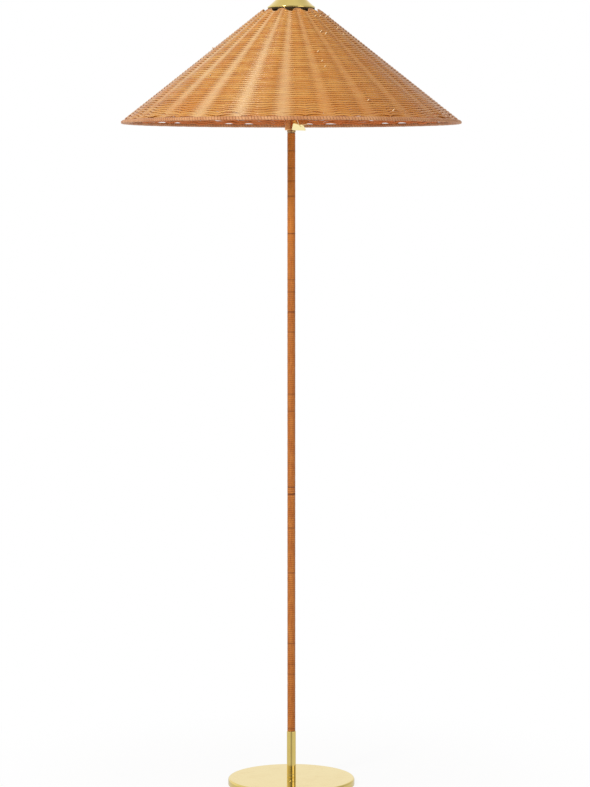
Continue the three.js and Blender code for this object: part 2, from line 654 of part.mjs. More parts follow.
// Shade carrier: a saddle strap under the lampholder, a bow round the bulb and a stud
function shadeCarrier() {
  const group = new THREE.Group();
  const saddleHole = NIPPLE_RADIUS + BORE_GAP;
  const halfWidth = saddleHole + SADDLE_MARGIN;
  const earTop = SADDLE_THICKNESS + SADDLE_EAR_HEIGHT;
  // The bow's feet stand on the strap's ends, outside two upturned ears
  const earInner = HOLDER_RADIUS + EAR_ROOM;
  const earOuter = earInner + SADDLE_THICKNESS;
  const bowFoot = earOuter + BORE_GAP + BOW_ROD_RADIUS;
  const strapEnd = bowFoot + BOW_ROD_RADIUS;
  const half = [
    [strapEnd, 0],
    [strapEnd, SADDLE_THICKNESS],
    [earOuter, SADDLE_THICKNESS],
    [earOuter, earTop],
    [earInner, earTop],
    [earInner, SADDLE_THICKNESS],
  ];
  const mirrored = half.map(([x, z]) => [-x, z]).reverse();
  const corners = [...half, ...mirrored].map(([x, z]) => new THREE.Vector2(x, z));
  const outline = new THREE.Shape(corners);
  const bar = new THREE.ExtrudeGeometry(outline, { depth: 2 * halfWidth, bevelEnabled: false });
  bar.rotateX(Math.PI / 2).translate(0, halfWidth, 0);
  const hole = disc(saddleHole, SADDLE_THICKNESS + 2 * CUT_OVERRUN, SMALL_SEGMENTS);
  addPiece(group, "bow_saddle", cut(bar, [hole.translate(0, 0, -CUT_OVERRUN)]), brass, saddleZ);

  const bowHeight = bowTopZ - bowFootZ;
  const bowSide = BULB_RADIUS + BULB_SIDE_ROOM;
  const halfBow = [
    [bowFoot, bowFootZ],
    [bowFoot, bowFootZ + SADDLE_EAR_HEIGHT],
    [bowSide, bowFootZ + BOW_WIDEST_SHARE * bowHeight],
    [bowSide, bowFootZ + BOW_SHOULDER_SHARE * bowHeight],
    [bowSide / 2, bowTopZ],
  ];
  const left = halfBow.map(([x, z]) => new THREE.Vector3(-x, 0, z));
  const right = halfBow.map(([x, z]) => new THREE.Vector3(x, 0, z)).reverse();
  const bow = new THREE.CatmullRomCurve3([...left, new THREE.Vector3(0, 0, bowTopZ), ...right]);
  addPiece(group, "shade_bow", rodAlong(bow, BOW_ROD_RADIUS, WIRE_SEGMENTS, BOW_STEPS), brass);

  const seat = turned(
    [
      [0, 0],
      [STUD_SEAT_RADIUS, 0],
      [STUD_SEAT_RADIUS, STUD_SEAT_HEIGHT],
      [STUD_RADIUS, STUD_SEAT_HEIGHT],
      [STUD_RADIUS, studTopZ - studSeatTopZ + STUD_SEAT_HEIGHT],
      [0, studTopZ - studSeatTopZ + STUD_SEAT_HEIGHT],
    ],
    SMALL_SEGMENTS,
  ).translate(0, 0, studSeatTopZ - STUD_SEAT_HEIGHT);
  const groove = rodAlong(bow, BOW_ROD_RADIUS + SEAT_GAP, WIRE_SEGMENTS, BOW_STEPS);
  addPiece(group, "carrier_stud", cut(seat, [groove]), brass);

  const washerBore = STUD_RADIUS + BORE_GAP;
  const washer = tube(washerBore + SEAT_WASHER_WIDTH, washerBore, SEAT_WASHER_THICKNESS, SMALL_SEGMENTS);
  addPiece(group, "seat_washer", washer, felt, seatWasherZ);
  return group;
}

// A straight rod that runs up the shade's middle surface at one angle round it
function slopeRod(angle, from, to, radius) {
  const ends = [from, to].map((along) => {
    const [r, z] = slopePoint(along, 0);
    return new THREE.Vector3(r * Math.cos(angle), r * Math.sin(angle), z);
  });
  return rodBetween(ends[0], ends[1], radius, STAKE_SEGMENTS);
}

// Shade: a rim hoop in its wrap, stakes up the slope, and the woven wall round them
function shade() {
  const group = new THREE.Group();
  group.rotation.z = STAKE_TURN;
  const core = arc([0, 0], STAKE_RADIUS, 0, 2 * Math.PI, STAKE_SEGMENTS);
  addPiece(group, "rim_core", turned(slopeProfile(core), LARGE_SEGMENTS), rattan);

  const wrapBore = STAKE_RADIUS + BORE_GAP;
  const outside = arc([0, 0], rimHalf, Math.PI / 2, (3 * Math.PI) / 2, ARC_STEPS);
  const inside = arc([0, 0], wrapBore, (3 * Math.PI) / 2, Math.PI / 2, ARC_STEPS);
  const section = [[rimTop, rimHalf], ...outside, [rimTop, -rimHalf], [rimTop, -wrapBore], ...inside];
  section.push([rimTop, wrapBore], [rimTop, rimHalf]);
  addPiece(group, "rim_wrap", turned(slopeProfile(section), LARGE_SEGMENTS), cane);

  const half = WEAVE_THICKNESS / 2;
  const wall = [
    [weaveStart, -half],
    [weaveEnd, -half],
    [weaveEnd, half],
    [weaveStart, half],
    [weaveStart, -half],
  ];
  const border = arc([borderAlong, 0], BORDER_RADIUS, 0, 2 * Math.PI, STAKE_SEGMENTS);
  const cage = [turned(slopeProfile(border), LARGE_SEGMENTS)];
  const channels = [];
  const stakeStart = STAKE_RADIUS + SEAT_GAP;
  const channelEnd = slant + CUT_OVERRUN;
  for (let i = 0; i < STAKES; i += 1) {
    const angle = (2 * Math.PI * i) / STAKES;
    cage.push(slopeRod(angle, stakeStart, borderAlong, STAKE_RADIUS));
    channels.push(slopeRod(angle, -CUT_OVERRUN, channelEnd, STAKE_RADIUS + BORE_GAP));
  }
  addPiece(group, "shade_weave", cut(turned(slopeProfile(wall), LARGE_SEGMENTS), channels), rattan);
  // The stakes' ends are turned over at the top and plaited into its border, as one piece
  addPiece(group, "stake_cage", join(cage), rattan);

  const ringProfile = arc([topRingRadius, 0], TOP_RING_ROD_RADIUS, 0, 2 * Math.PI, STAKE_SEGMENTS);
  const eyeBore = STUD_RADIUS + BORE_GAP;
  const eye = tube(eyeBore + SPIDER_EYE_WIDTH, eyeBore, SPIDER_EYE_THICKNESS, SMALL_SEGMENTS);
  const arms = [];
  for (let i = 0; i < SPIDER_ARMS; i += 1) {
    const angle = Math.PI / 2 + (2 * Math.PI * i) / SPIDER_ARMS;
    const out = new THREE.Vector3(Math.cos(angle), Math.sin(angle), 0);
    const start = out.clone().multiplyScalar(eyeBore + SPIDER_EYE_WIDTH / 2);
    const end = out.clone().multiplyScalar(topRingRadius);
    arms.push(rodBetween(start, end, SPIDER_ARM_RADIUS, STAKE_SEGMENTS));
  }
  const spiderEye = eye.translate(0, 0, -SPIDER_EYE_THICKNESS / 2);
  const spider = join([turned(ringProfile, CAP_SEGMENTS), spiderEye, ...arms]);
  addPiece(group, "shade_spider", spider, steel, spiderZ);
  return group;
}

// Cap and finial: a flared brass cap held down on its spacer by a turned knob
function crown() {
  const group = new THREE.Group();
  const bore = STUD_RADIUS + BORE_GAP;
  const spacerHeight = capTopZ - CAP_WALL - SEAT_GAP - spacerZ;
  const spacer = tube(bore + SPACER_WALL, bore, spacerHeight, SMALL_SEGMENTS);
  addPiece(group, "cap_spacer", spacer, brass, spacerZ);

  // The cap's side is one shallow hollow curve from its lip up to its neck
  const reach = CAP_RADIUS - CAP_NECK_RADIUS;
  const [bendRadiusShare, bendHeightShare] = CAP_BEND_SHARES;
  const sweep = new THREE.QuadraticBezierCurve(
    new THREE.Vector2(CAP_RADIUS, CAP_LIP_HEIGHT),
    new THREE.Vector2(CAP_NECK_RADIUS + bendRadiusShare * reach, bendHeightShare * CAP_HEIGHT),
    new THREE.Vector2(CAP_NECK_RADIUS, CAP_HEIGHT),
  );
  const side = sweep.getPoints(CAP_STEPS).map((point) => [point.x, point.y]);
  const innerSide = side.map(([radius, height]) => [radius - CAP_WALL, height - CAP_WALL]).reverse();
  const capProfile = [
    [bore, CAP_HEIGHT - CAP_WALL],
    ...innerSide,
    [CAP_RADIUS - CAP_WALL, 0],
    [CAP_RADIUS, 0],
    ...side,
    [bore, CAP_HEIGHT],
    [bore, CAP_HEIGHT - CAP_WALL],
  ];
  addPiece(group, "shade_cap", turned(capProfile, CAP_SEGMENTS), brass, capZ);

  const ballCentre = FINIAL_HEIGHT - FINIAL_RADIUS;
  const neckAngle = Math.acos(FINIAL_NECK_RADIUS / FINIAL_RADIUS);
  const ball = arc([0, ballCentre], FINIAL_RADIUS, -neckAngle, Math.PI / 2, BALL_STEPS);
  const threadBore = STUD_RADIUS + RUN_GAP;
  const finialProfile = [
    [0, FINIAL_THREAD_DEPTH],
    [threadBore, FINIAL_THREAD_DEPTH],
    [threadBore, 0],
    [CAP_NECK_RADIUS - CAP_WALL, 0],
    [CAP_NECK_RADIUS - CAP_WALL, CAP_WALL],
    [FINIAL_NECK_RADIUS, FINIAL_RADIUS / 2],
    ...ball.slice(0, -1),
    [0, FINIAL_HEIGHT],
  ];
  addPiece(group, "finial", turned(finialProfile, TUBE_SEGMENTS), brass, finialZ);
  return group;
}

lamp.add(groundPlate(), foot(), stem());
addPiece(lamp, "inner_cable", innerCable(), rubber);
lamp.add(switchUnit(), lampholder(), shadeCarrier(), shade(), crown());

export default lamp;
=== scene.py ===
# %% [markdown]
# # A rattan floor lamp
# A wide cone shade, woven in round rattan, hangs over a slim stem wound with flat cane. The stem stands in a brass tube
# on a thin round base of polished brass. The lamp's solids come in first, as a fixed frame. Every piece that shows is
# built at its own place in that frame, in metres, and rides on the body that carries it.

# %% Load the frame
import math
import random

import bmesh
import bpy
from mathutils import Matrix, Vector


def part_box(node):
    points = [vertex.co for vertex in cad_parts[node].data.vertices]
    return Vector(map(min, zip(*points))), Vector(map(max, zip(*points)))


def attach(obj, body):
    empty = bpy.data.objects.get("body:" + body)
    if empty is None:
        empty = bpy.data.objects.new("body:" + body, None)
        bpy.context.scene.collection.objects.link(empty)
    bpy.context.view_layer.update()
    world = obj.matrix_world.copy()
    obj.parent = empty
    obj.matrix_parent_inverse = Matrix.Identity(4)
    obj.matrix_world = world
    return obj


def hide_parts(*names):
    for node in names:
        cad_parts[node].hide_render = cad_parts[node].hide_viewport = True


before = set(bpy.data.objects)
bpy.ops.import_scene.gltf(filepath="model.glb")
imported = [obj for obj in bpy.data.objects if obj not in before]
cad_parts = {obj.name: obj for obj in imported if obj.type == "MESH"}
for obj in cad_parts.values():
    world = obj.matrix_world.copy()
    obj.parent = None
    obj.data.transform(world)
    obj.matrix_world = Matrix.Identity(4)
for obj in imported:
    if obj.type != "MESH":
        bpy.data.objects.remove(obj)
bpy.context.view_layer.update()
MM = 0.001


def add_object(name, data):
    made = bpy.data.objects.new(name, data)
    bpy.context.collection.objects.link(made)
    return made


def as_mesh(name, bm):
    mesh = bpy.data.meshes.new(name)
    bm.to_mesh(mesh)
    bm.free()
    return mesh


# %% [markdown]
# ## Sizes
# Scene and solids share one frame, so a size that the solids have is read from their boxes. The rest repeats values of
# the part's source: the shade's slope, the bores and the walls.

# %% Sizes shared by several pieces
def span(node):
    """The lowest and the highest point of a solid."""
    return tuple(corner.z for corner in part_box(node))


def raised(height, *points):
    """Points of a turned outline given in millimetres, with their heights counted from one in metres."""
    return [(radius * MM, height + rise * MM) for radius, rise in points]


BORE = 5.5 * MM
BASE_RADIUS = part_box("base_cover")[1].x
COVER_LOW, BASE_TOP = span("base_cover")
FOOT_RADIUS = 8 * MM
FOOT_LOW, FOOT_TOP = span("foot_tube")
WRAP_RADIUS = 7.1 * MM
STAKES = 24
STAKE_STEP = 2 * math.pi / STAKES
STAKE_TURN = math.radians(4.8)
SLOPE = math.radians(38.4)
RISE, RUN = math.sin(SLOPE), math.cos(SLOPE)
SLOPE_RADIUS, SLOPE_FOOT = 296.9 * MM, 1175.856 * MM
TOP_RADIUS = 49.5 * MM
SLANT = (SLOPE_RADIUS - TOP_RADIUS) / RUN
KEY_AZIMUTH = math.radians(35)
KEY_HEIGHT, KEY_REACH = 1171.1 * MM, 29.5 * MM


def on_slope(angle, along, out=0.0):
    """A place on the shade: its angle from the front, its way up the slope, and its distance out from the wall."""
    radius = SLOPE_RADIUS - along * RUN + out * RISE
    height = SLOPE_FOOT + along * RISE + out * RUN
    turn = angle + STAKE_TURN
    return Vector((radius * math.sin(turn), -radius * math.cos(turn), height))


print("slant of the shade:", round(SLANT / MM, 1), "mm")

# %% [markdown]
# ## Camera
# The photograph was taken from nearly 5 m away, a little above the lamp's middle. Lens, tilt and a small upward shift
# were solved from five points: both ends of the rim, its near and far edge, and the middle of the base.

# %% Camera
camera = add_object("camera", bpy.data.cameras.new("camera"))
TILT_DOWN = 2.728
camera.location = (0.0065, -4.770, 1.064)
camera.rotation_euler = (math.radians(90 - TILT_DOWN), 0, 0)
camera.data.lens = 123.58
camera.data.shift_y = -0.1
bpy.context.scene.camera = camera
bpy.context.scene.view_settings.view_transform = "Standard"
print("camera", round(-camera.location.y, 2), "m away, lens", camera.data.lens, "mm")

# %% [markdown]
# ## Light
# A studio with white walls lights everything softly. One large lamp at the upper left gives the shade its bright side
# and the strands their gloss, and a weak one opens the shadows on the right. Round lamps leave round highlights in
# polished brass, as a studio's soft boxes do.


# %% Lamps
def area_light(name, place, aim, size, power, color):
    light = add_object(name, bpy.data.lights.new(name, "AREA"))
    light.data.shape = "DISK"
    light.data.size = size
    light.data.energy = power
    light.data.color = color
    light.location = place
    light.rotation_euler = (Vector(aim) - Vector(place)).to_track_quat("-Z", "Y").to_euler()
    light.visible_camera = False
    return light


lamps = [
    area_light("upper_left", (-1.75, -2.68, 2.6), (0, 0, 1.2), 0.8, 77, (1.0, 0.96, 0.90)),
    area_light("right_fill", (2.6, -2.4, 1.0), (0, 0, 0.8), 2.0, 12, (1.0, 0.93, 0.84)),
]
print("lamps:", [lamp.name for lamp in lamps])

# %% [markdown]
# ## World
# The camera sees pure white behind the lamp, and so do mirrors and glass. Polished brass would look flat if its
# surroundings were white all round. So for glossy rays the white fades towards the dark end of the studio, where the
# camera stands, towards the ceiling and the right, and low down in front. Shader nodes pick by the kind of ray.


# %% World
def link_value(tree, socket, value):
    """Puts a plain value on a socket, or links another node's output to it."""
    if isinstance(value, (int, float, tuple)):
        socket.default_value = value
    else:
        tree.links.new(value, socket)


def add_node(tree, kind, values=(), output=0, **settings):
    """A new shader node with its settings and its inputs, these in order or by name. It gives back one output."""
    node = tree.nodes.new("ShaderNode" + kind)
    for label, value in settings.items():
        setattr(node, label, value)
    for key, value in values.items() if isinstance(values, dict) else enumerate(values):
        link_value(tree, node.inputs[key], value)
    return node.outputs[output]


def calculate(tree, operation, *values):
    return add_node(tree, "Math", values, operation=operation)


def multiply(tree, product, *others):
    for other in others:
        product = calculate(tree, "MULTIPLY", product, other)
    return product


def remap(tree, value, low, high, to_low=0.0, to_high=1.0):
    """Carries a value smoothly from one range to another and holds it at the ends."""
    return add_node(tree, "MapRange", (value, low, high, to_low, to_high), interpolation_type="SMOOTHSTEP")


def split(tree, vector):
    """The coordinates of a place or a direction, by their letters."""
    node = tree.nodes.new("ShaderNodeSeparateXYZ")
    tree.links.new(vector, node.inputs[0])
    return node.outputs


def own_place(tree):
    """Each point's place in its own object."""
    return add_node(tree, "TexCoord", output="Object")


def seen_directly(tree):
    """1 for rays of the camera, of mirrors and of glass, and 0 for those that light the scene. Then mirrors alone."""
    rays = tree.nodes.new("ShaderNodeLightPath").outputs
    mirrored = calculate(tree, "MAXIMUM", rays["Is Glossy Ray"], rays["Is Transmission Ray"])
    return calculate(tree, "MAXIMUM", rays["Is Camera Ray"], mirrored), rays["Is Glossy Ray"]


def mix_shaders(tree, share, first, second):
    return add_node(tree, "MixShader", (share, first, second))


def build_world():
    world = bpy.data.worlds.new("studio")
    bpy.context.scene.world = world
    world.use_nodes = True
    tree = world.node_tree
    tree.nodes.clear()
    way = split(tree, add_node(tree, "TexCoord", output="Generated"))
    dark_gap = remap(tree, way["Y"], -0.985, -0.93, 0.15, 1.0)
    dark_end = remap(tree, way["Y"], -0.95, -0.4, 0.60, 1.0)
    ceiling = remap(tree, way["Z"], 0.25, 0.9, 1.0, 0.80)
    right_end = remap(tree, way["X"], 0.1, 0.8, 1.0, 0.6)
    low = remap(tree, way["Z"], 0.15, 0.45, 0.66, 1.0)
    low_front = calculate(tree, "MAXIMUM", low, remap(tree, way["Y"], -0.2, 0.5))
    mirror = multiply(tree, dark_gap, dark_end, ceiling, right_end, low_front)
    layers = {name: add_node(tree, "Background", {"Color": (1, 1, 1, 1), "Strength": strength})
              for name, strength in {"room": 0.56, "mirror": mirror, "white": 1.0}.items()}
    seen, glossy = seen_directly(tree)
    mirrored = mix_shaders(tree, glossy, layers["white"], layers["mirror"])
    result = mix_shaders(tree, seen, layers["room"], mirrored)
    tree.links.new(result, tree.nodes.new("ShaderNodeOutputWorld").inputs["Surface"])
    return len(tree.nodes)


print("world nodes:", build_world())

# %% [markdown]
# ## Patterns as node groups
# Several finishes share the same patterns: grain along a strand, clouding and hairlines in polished metal, the speckle
# of cast or pressed stuff. Each pattern is a node group, built once and placed in each material with values of its
# own. A group only puts out values, and the shader stays in the material.


# %% Node group helpers
def make_group(name, inputs, build):
    """A group with a place to work from and number inputs, given as name: value. Build gives its outputs by name."""
    tree = bpy.data.node_groups.new(name, "ShaderNodeTree")
    tree.interface.new_socket("Place", in_out="INPUT", socket_type="NodeSocketVector")
    for label, value in inputs.items():
        socket = tree.interface.new_socket(label, in_out="INPUT", socket_type="NodeSocketFloat")
        socket.default_value = value
    outputs = build(tree, tree.nodes.new("NodeGroupInput").outputs)
    for label in outputs:
        tree.interface.new_socket(label, in_out="OUTPUT", socket_type="NodeSocketFloat")
    put = tree.nodes.new("NodeGroupOutput").inputs
    for label, value in outputs.items():
        tree.links.new(value, put[label])
    return tree


def combine(tree, *values):
    return add_node(tree, "CombineXYZ", values)


def noise(tree, place, scale=1.0, detail=2.0, roughness=0.5):
    values = {"Vector": place, "Scale": scale, "Detail": detail, "Roughness": roughness}
    return add_node(tree, "TexNoise", values, "Fac")


def around_stem(tree, place):
    """The direction round the stem's axis, as two numbers that have no seam, and the height."""
    x, y, z = split(tree, place)
    squares = calculate(tree, "ADD", multiply(tree, x, x), multiply(tree, y, y))
    radius = calculate(tree, "MAXIMUM", calculate(tree, "SQRT", squares), 0.0001)
    return calculate(tree, "DIVIDE", x, radius), calculate(tree, "DIVIDE", y, radius), z


# %% [markdown]
# Grain runs along a strand, so its noise is stretched round the axis and fine across it. Each strand carries its own
# number as an attribute, which moves it to another part of the noise, so no two match.


# %% Grain group
def build_grain(tree, given):
    east, north, height = around_stem(tree, given["Place"])
    scales = (given["Streak"], 2.2, 22.0)
    along, wide, fine = ([multiply(tree, part, scale) for part in (east, north)] for scale in scales)
    own, slow = (multiply(tree, given["Strand"], step) for step in (7.31, 0.11))
    return {
        "Tone": noise(tree, combine(tree, *along, own), 1.0, 4.0, 0.62),
        "Patch": noise(tree, combine(tree, *wide, slow), 1.0, 3.0, 0.6),
        "Fibre": noise(tree, combine(tree, *fine, multiply(tree, height, given["Fineness"]))),
    }


# %% Polish and speckle groups
def build_polish(tree, given):
    pairs = zip(around_stem(tree, given["Place"]), (2.0, 2.0, given["Hairs"]))
    lines = combine(tree, *(multiply(tree, part, scale) for part, scale in pairs))
    return {
        "Cloud": noise(tree, given["Place"], given["Clouds"], 4.0, 0.6),
        "Hairline": noise(tree, lines, 1.0, 3.0, 0.7),
    }


def build_speckle(tree, given):
    return {
        "Coarse": noise(tree, given["Place"], given["Coarse Scale"], 3.0, 0.6),
        "Fine": noise(tree, given["Place"], given["Fine Scale"], 2.0, 0.6),
    }


GRAIN = make_group("grain along a strand", {"Strand": 0.0, "Streak": 3.0, "Fineness": 2400.0}, build_grain)
POLISH = make_group("polish", {"Clouds": 38.0, "Hairs": 2400.0}, build_polish)
SPECKLE = make_group("speckle", {"Coarse Scale": 220.0, "Fine Scale": 1500.0}, build_speckle)
print("groups:", [group.name for group in (GRAIN, POLISH, SPECKLE)])

# %% [markdown]
# ## Materials
# Each material starts from a Principled shader. The patterns mix its colours and feed its roughness and a fine bump.
# What is the same all over a surface, such as its metallic share, is set on the shader itself.


# %% Material helpers
def start_material(name, group, settings=None, **constants):
    """A new material with one pattern group in it, fed by the piece's own coordinates."""
    material = bpy.data.materials.new(name)
    material.use_nodes = True
    tree = material.node_tree
    shader = tree.nodes["Principled BSDF"]
    for label, value in constants.items():
        shader.inputs[label.replace("_", " ")].default_value = value
    pattern = tree.nodes.new("ShaderNodeGroup")
    pattern.node_tree = group
    tree.links.new(own_place(tree), pattern.inputs["Place"])
    for label, value in (settings or {}).items():
        link_value(tree, pattern.inputs[label], value)
    return material, tree, shader, pattern


def attribute(tree, name):
    return add_node(tree, "Attribute", output="Fac", attribute_name=name)


def mix_colors(tree, share, first, second):
    sides = [(*side, 1.0) if isinstance(side, tuple) else side for side in (first, second)]
    return add_node(tree, "Mix", {"Factor": share, "A": sides[0], "B": sides[1]}, "Result", data_type="RGBA")


def mix_in(tree, color, other, pattern, *limits):
    """Mixes another colour into one where a pattern runs between some limits."""
    return mix_colors(tree, remap(tree, pattern, *limits), color, other)


def finish_shader(tree, shader, color, roughness, height, strength, distance):
    """Feeds a shader its colour, its roughness and a fine bump."""
    tree.links.new(color, shader.inputs["Base Color"])
    tree.links.new(roughness, shader.inputs["Roughness"])
    bump = add_node(tree, "Bump", {"Strength": strength, "Distance": distance, "Height": height})
    tree.links.new(bump, shader.inputs["Normal"])


# %% [markdown]
# Rattan varies from straw to orange, between strands and along each, with warm patches and fine darker fibres. The
# right side is painted warmer, as painted shade on the side away from the upper lamp. The skin has a silky gloss. The
# weave marks two things with attributes of its own: the side that faces into the shade, which is painted darker and
# redder as painted shade, and the plain stripes where its strands lie flat. There a paler colour is painted on as a
# painted highlight, strongest at the left of the middle.


# %% Rattan
INNER_SIDE_PAINTED_SHADE, HIGHLIGHT_PAINT_COLOR = (0.62, 0.155, 0.025), (0.84, 0.68, 0.42)
RIGHT_SIDE_PAINTED_SHADE = (-0.1, 0.25, 0.0, 0.6)
HIGHLIGHT_PAINT_SHARES = ((-0.27, -0.12, 0.06, 0.38), (-0.06, 0.06, 1.0, 0.18))


def rattan_finish(name, straw, brown, warm):
    material, tree, shader, grain = start_material(name, GRAIN)
    tone, patch, fibre = grain.outputs
    tree.links.new(attribute(tree, "strand"), grain.inputs["Strand"])
    color = mix_in(tree, straw, brown, tone, 0.36, 0.66)
    color = mix_in(tree, color, warm, patch, 0.45, 0.68, 0.0, 0.7)
    color = mix_in(tree, color, brown, fibre, 0.40, 0.75, 0.0, 0.35)
    across = split(tree, own_place(tree))["X"]
    # Painted shade: the right side, away from the upper lamp, is mixed warmer.
    color = mix_in(tree, color, warm, across, *RIGHT_SIDE_PAINTED_SHADE)
    # Painted highlight: a paler colour on the plain stripes, strongest at the left of the middle.
    painted_highlight = multiply(tree, attribute(tree, "highlight_stripe_mask"), *(remap(tree, across, *share) for share in HIGHLIGHT_PAINT_SHARES))
    color = mix_colors(tree, painted_highlight, color, HIGHLIGHT_PAINT_COLOR)
    # Painted shade: the side facing into the shade is mixed darker and redder.
    inside = remap(tree, attribute(tree, "inside"), 0.1, 0.7, 0.0, 0.9)
    color = mix_colors(tree, inside, color, INNER_SIDE_PAINTED_SHADE)
    rough = calculate(tree, "ADD", remap(tree, fibre, 0.3, 0.8, 0.28, 0.48), multiply(tree, inside, 0.4))
    finish_shader(tree, shader, color, rough, fibre, 0.25, 0.15 * MM)
    return material


weave_rattan = rattan_finish("weave_rattan", (0.665, 0.335, 0.078), (0.51, 0.20, 0.034), (0.595, 0.215, 0.026))
stake_rattan = rattan_finish("stake_rattan", (0.62, 0.30, 0.10), (0.42, 0.17, 0.05), (0.54, 0.23, 0.06))
cut_rattan = rattan_finish("cut_rattan", (0.84, 0.66, 0.40), (0.76, 0.54, 0.30), (0.80, 0.58, 0.34))
print("rattan:", weave_rattan.name, stake_rattan.name, cut_rattan.name)

# %% [markdown]
# Flat cane is wound edge to edge. Two attributes come from the winding itself: `run` counts the turns along the strip,
# and `edge` goes from 0 to 1 across it. The groove between two turns is painted darker, as painted shade, and each
# place where one strip ends and the next begins is darker too. Towards its top the stem is painted a lighter orange, as
# painted light for warm light bounced down from the shade.

# %% Cane
STEM_JOINS = (
    (132, 0.55), (150, 0.4), (167, 0.35), (180, 0.4), (195, 0.45), (232, 0.7), (278, 0.35), (290, 0.4), (310, 0.7),
    (330, 0.45), (392, 0.4), (409, 0.4), (485, 0.7), (492, 0.95), (526, 0.5), (571, 0.5), (642, 0.5), (663, 0.35),
    (673, 0.4), (728, 0.5),
)
PIXEL, PIXEL_FLOOR = 1.775 * MM, 777.6
JOIN_CORE, JOIN_EDGE = 0.8 * MM, 1.7 * MM
TOP_PAINTED_LIGHT, TOP_PAINTED_LIGHT_SHARES = (0.80, 0.29, 0.035), (0.85, 1.12, 0.0, 0.45)


def join_marks(tree, height):
    """Darker rings at the heights where the photograph shows joins, given by their pixel rows."""
    marks = 0.0
    for row, strength in STEM_JOINS:
        place = BASE_TOP + (PIXEL_FLOOR - row) * PIXEL
        away = calculate(tree, "ABSOLUTE", calculate(tree, "SUBTRACT", height, place))
        marks = calculate(tree, "MAXIMUM", remap(tree, away, JOIN_CORE, JOIN_EDGE, strength, 0.0), marks)
    return marks


def cane_finish(name, light, dark, crease_shade_and_join, streak, joins=False):
    settings = {"Streak": streak, "Fineness": 3200.0}
    material, tree, shader, grain = start_material(name, GRAIN, settings, Specular_IOR_Level=0.25)
    tone, _, fibre = grain.outputs
    run, edge = attribute(tree, "run"), attribute(tree, "edge")
    tree.links.new(multiply(tree, run, 0.023), grain.inputs["Strand"])
    color = mix_in(tree, light, dark, tone, 0.3, 0.7)
    color = mix_in(tree, color, dark, fibre, 0.35, 0.75, 0.0, 0.4)
    # Painted shade: the strip's edges are mixed darker in the groove between turns.
    off_middle = calculate(tree, "ABSOLUTE", calculate(tree, "SUBTRACT", edge, 0.5))
    color = mix_in(tree, color, crease_shade_and_join, off_middle, 0.34, 0.5, 0.0, 0.75)
    if joins:
        height = split(tree, own_place(tree))["Z"]
        # Painted light: the stem's top is mixed a lighter orange, for warm light bounced down from the shade.
        color = mix_in(tree, color, TOP_PAINTED_LIGHT, height, *TOP_PAINTED_LIGHT_SHARES)
        color = mix_colors(tree, join_marks(tree, height), color, crease_shade_and_join)
    finish_shader(tree, shader, color, remap(tree, fibre, 0.3, 0.8, 0.34, 0.55), fibre, 0.25, 0.1 * MM)
    return material


stem_cane = cane_finish("stem_cane", (0.58, 0.21, 0.040), (0.43, 0.125, 0.020), (0.15, 0.035, 0.008), 1.6, joins=True)
rim_cane = cane_finish("rim_cane", (0.66, 0.34, 0.16), (0.48, 0.20, 0.08), (0.22, 0.08, 0.03), 3.0)
print("cane:", stem_cane.name, "with", len(STEM_JOINS), "joins,", rim_cane.name)

# %% [markdown]
# Metals differ in colour and polish. Brass is pale where it mirrors the white studio at a low angle, as on the base,
# and deeper yellow where it is seen square on, which the shader gives by itself. The switch cup's warmer colour is a
# painted reflection of the warm shade, the ring under it is painted dark as painted shade, the key's pale colour is a
# painted reflection of the white room, and the near-black brass under the cap is painted shade.


# %% Metals
def metal_finish(name, color, worn, smooth, dull, hair_depth=0.04):
    material, tree, shader, polish = start_material(name, POLISH, Metallic=1.0)
    cloud, hairline = polish.outputs
    clouded = mix_in(tree, color, worn, cloud, 0.4, 0.75, 0.0, 0.6)
    hair = remap(tree, hairline, 0.4, 0.8, 0.0, 0.05)
    rough = calculate(tree, "ADD", remap(tree, cloud, 0.35, 0.8, smooth, dull), hair)
    finish_shader(tree, shader, clouded, rough, hairline, hair_depth, 0.05 * MM)
    return material


brass = metal_finish("polished_brass", (0.83, 0.645, 0.21), (0.79, 0.585, 0.17), 0.07, 0.15)
# Painted light sits in four of these brasses: the cup's warm colour is a painted reflection of the shade, the ring's
# dark brown is painted shade, the key's pale colour is a painted reflection of the white room, and the near-black brass
# under the cap is painted shade.
warm_reflection_brass = metal_finish("painted_warm_reflection_brass", (0.86, 0.45, 0.17), (0.74, 0.36, 0.12), 0.16, 0.28)
painted_shade_ring_brass = metal_finish("painted_shade_ring_brass", (0.42, 0.27, 0.12), (0.32, 0.20, 0.08), 0.25, 0.4)
painted_pale_reflection_brass = metal_finish("painted_pale_reflection_brass", (0.98, 0.85, 0.46), (0.95, 0.80, 0.40), 0.30, 0.42)
inner_brass = metal_finish("plain_brass", (0.70, 0.53, 0.18), (0.60, 0.43, 0.13), 0.22, 0.36)
painted_shade_cap_brass = metal_finish("painted_shade_cap_finish", (0.10, 0.075, 0.04), (0.06, 0.045, 0.025), 0.45, 0.65)
steel = metal_finish("drawn_steel", (0.56, 0.56, 0.55), (0.45, 0.44, 0.43), 0.28, 0.42, 0.12)
metals = (brass, warm_reflection_brass, painted_shade_ring_brass, painted_pale_reflection_brass, inner_brass, painted_shade_cap_brass, steel)
print("metals:", [metal.name for metal in metals])

# %% [markdown]
# Felt, iron, rubber, plastic, ceramic and opal glass share one recipe: two near colours, mottled by the speckle, and a
# grain as deep as each stuff has. Ceramic and opal glass get a clear coat over it.


# %% Other finishes
def mottled_finish(name, color, second, smooth, dull, grain, **constants):
    material, tree, shader, speckle = start_material(name, SPECKLE, **constants)
    coarse, fine = speckle.outputs
    mottled = mix_in(tree, color, second, coarse, 0.35, 0.7)
    finish_shader(tree, shader, mottled, remap(tree, coarse, 0.3, 0.8, smooth, dull), fine, grain, 0.3 * MM)
    return material


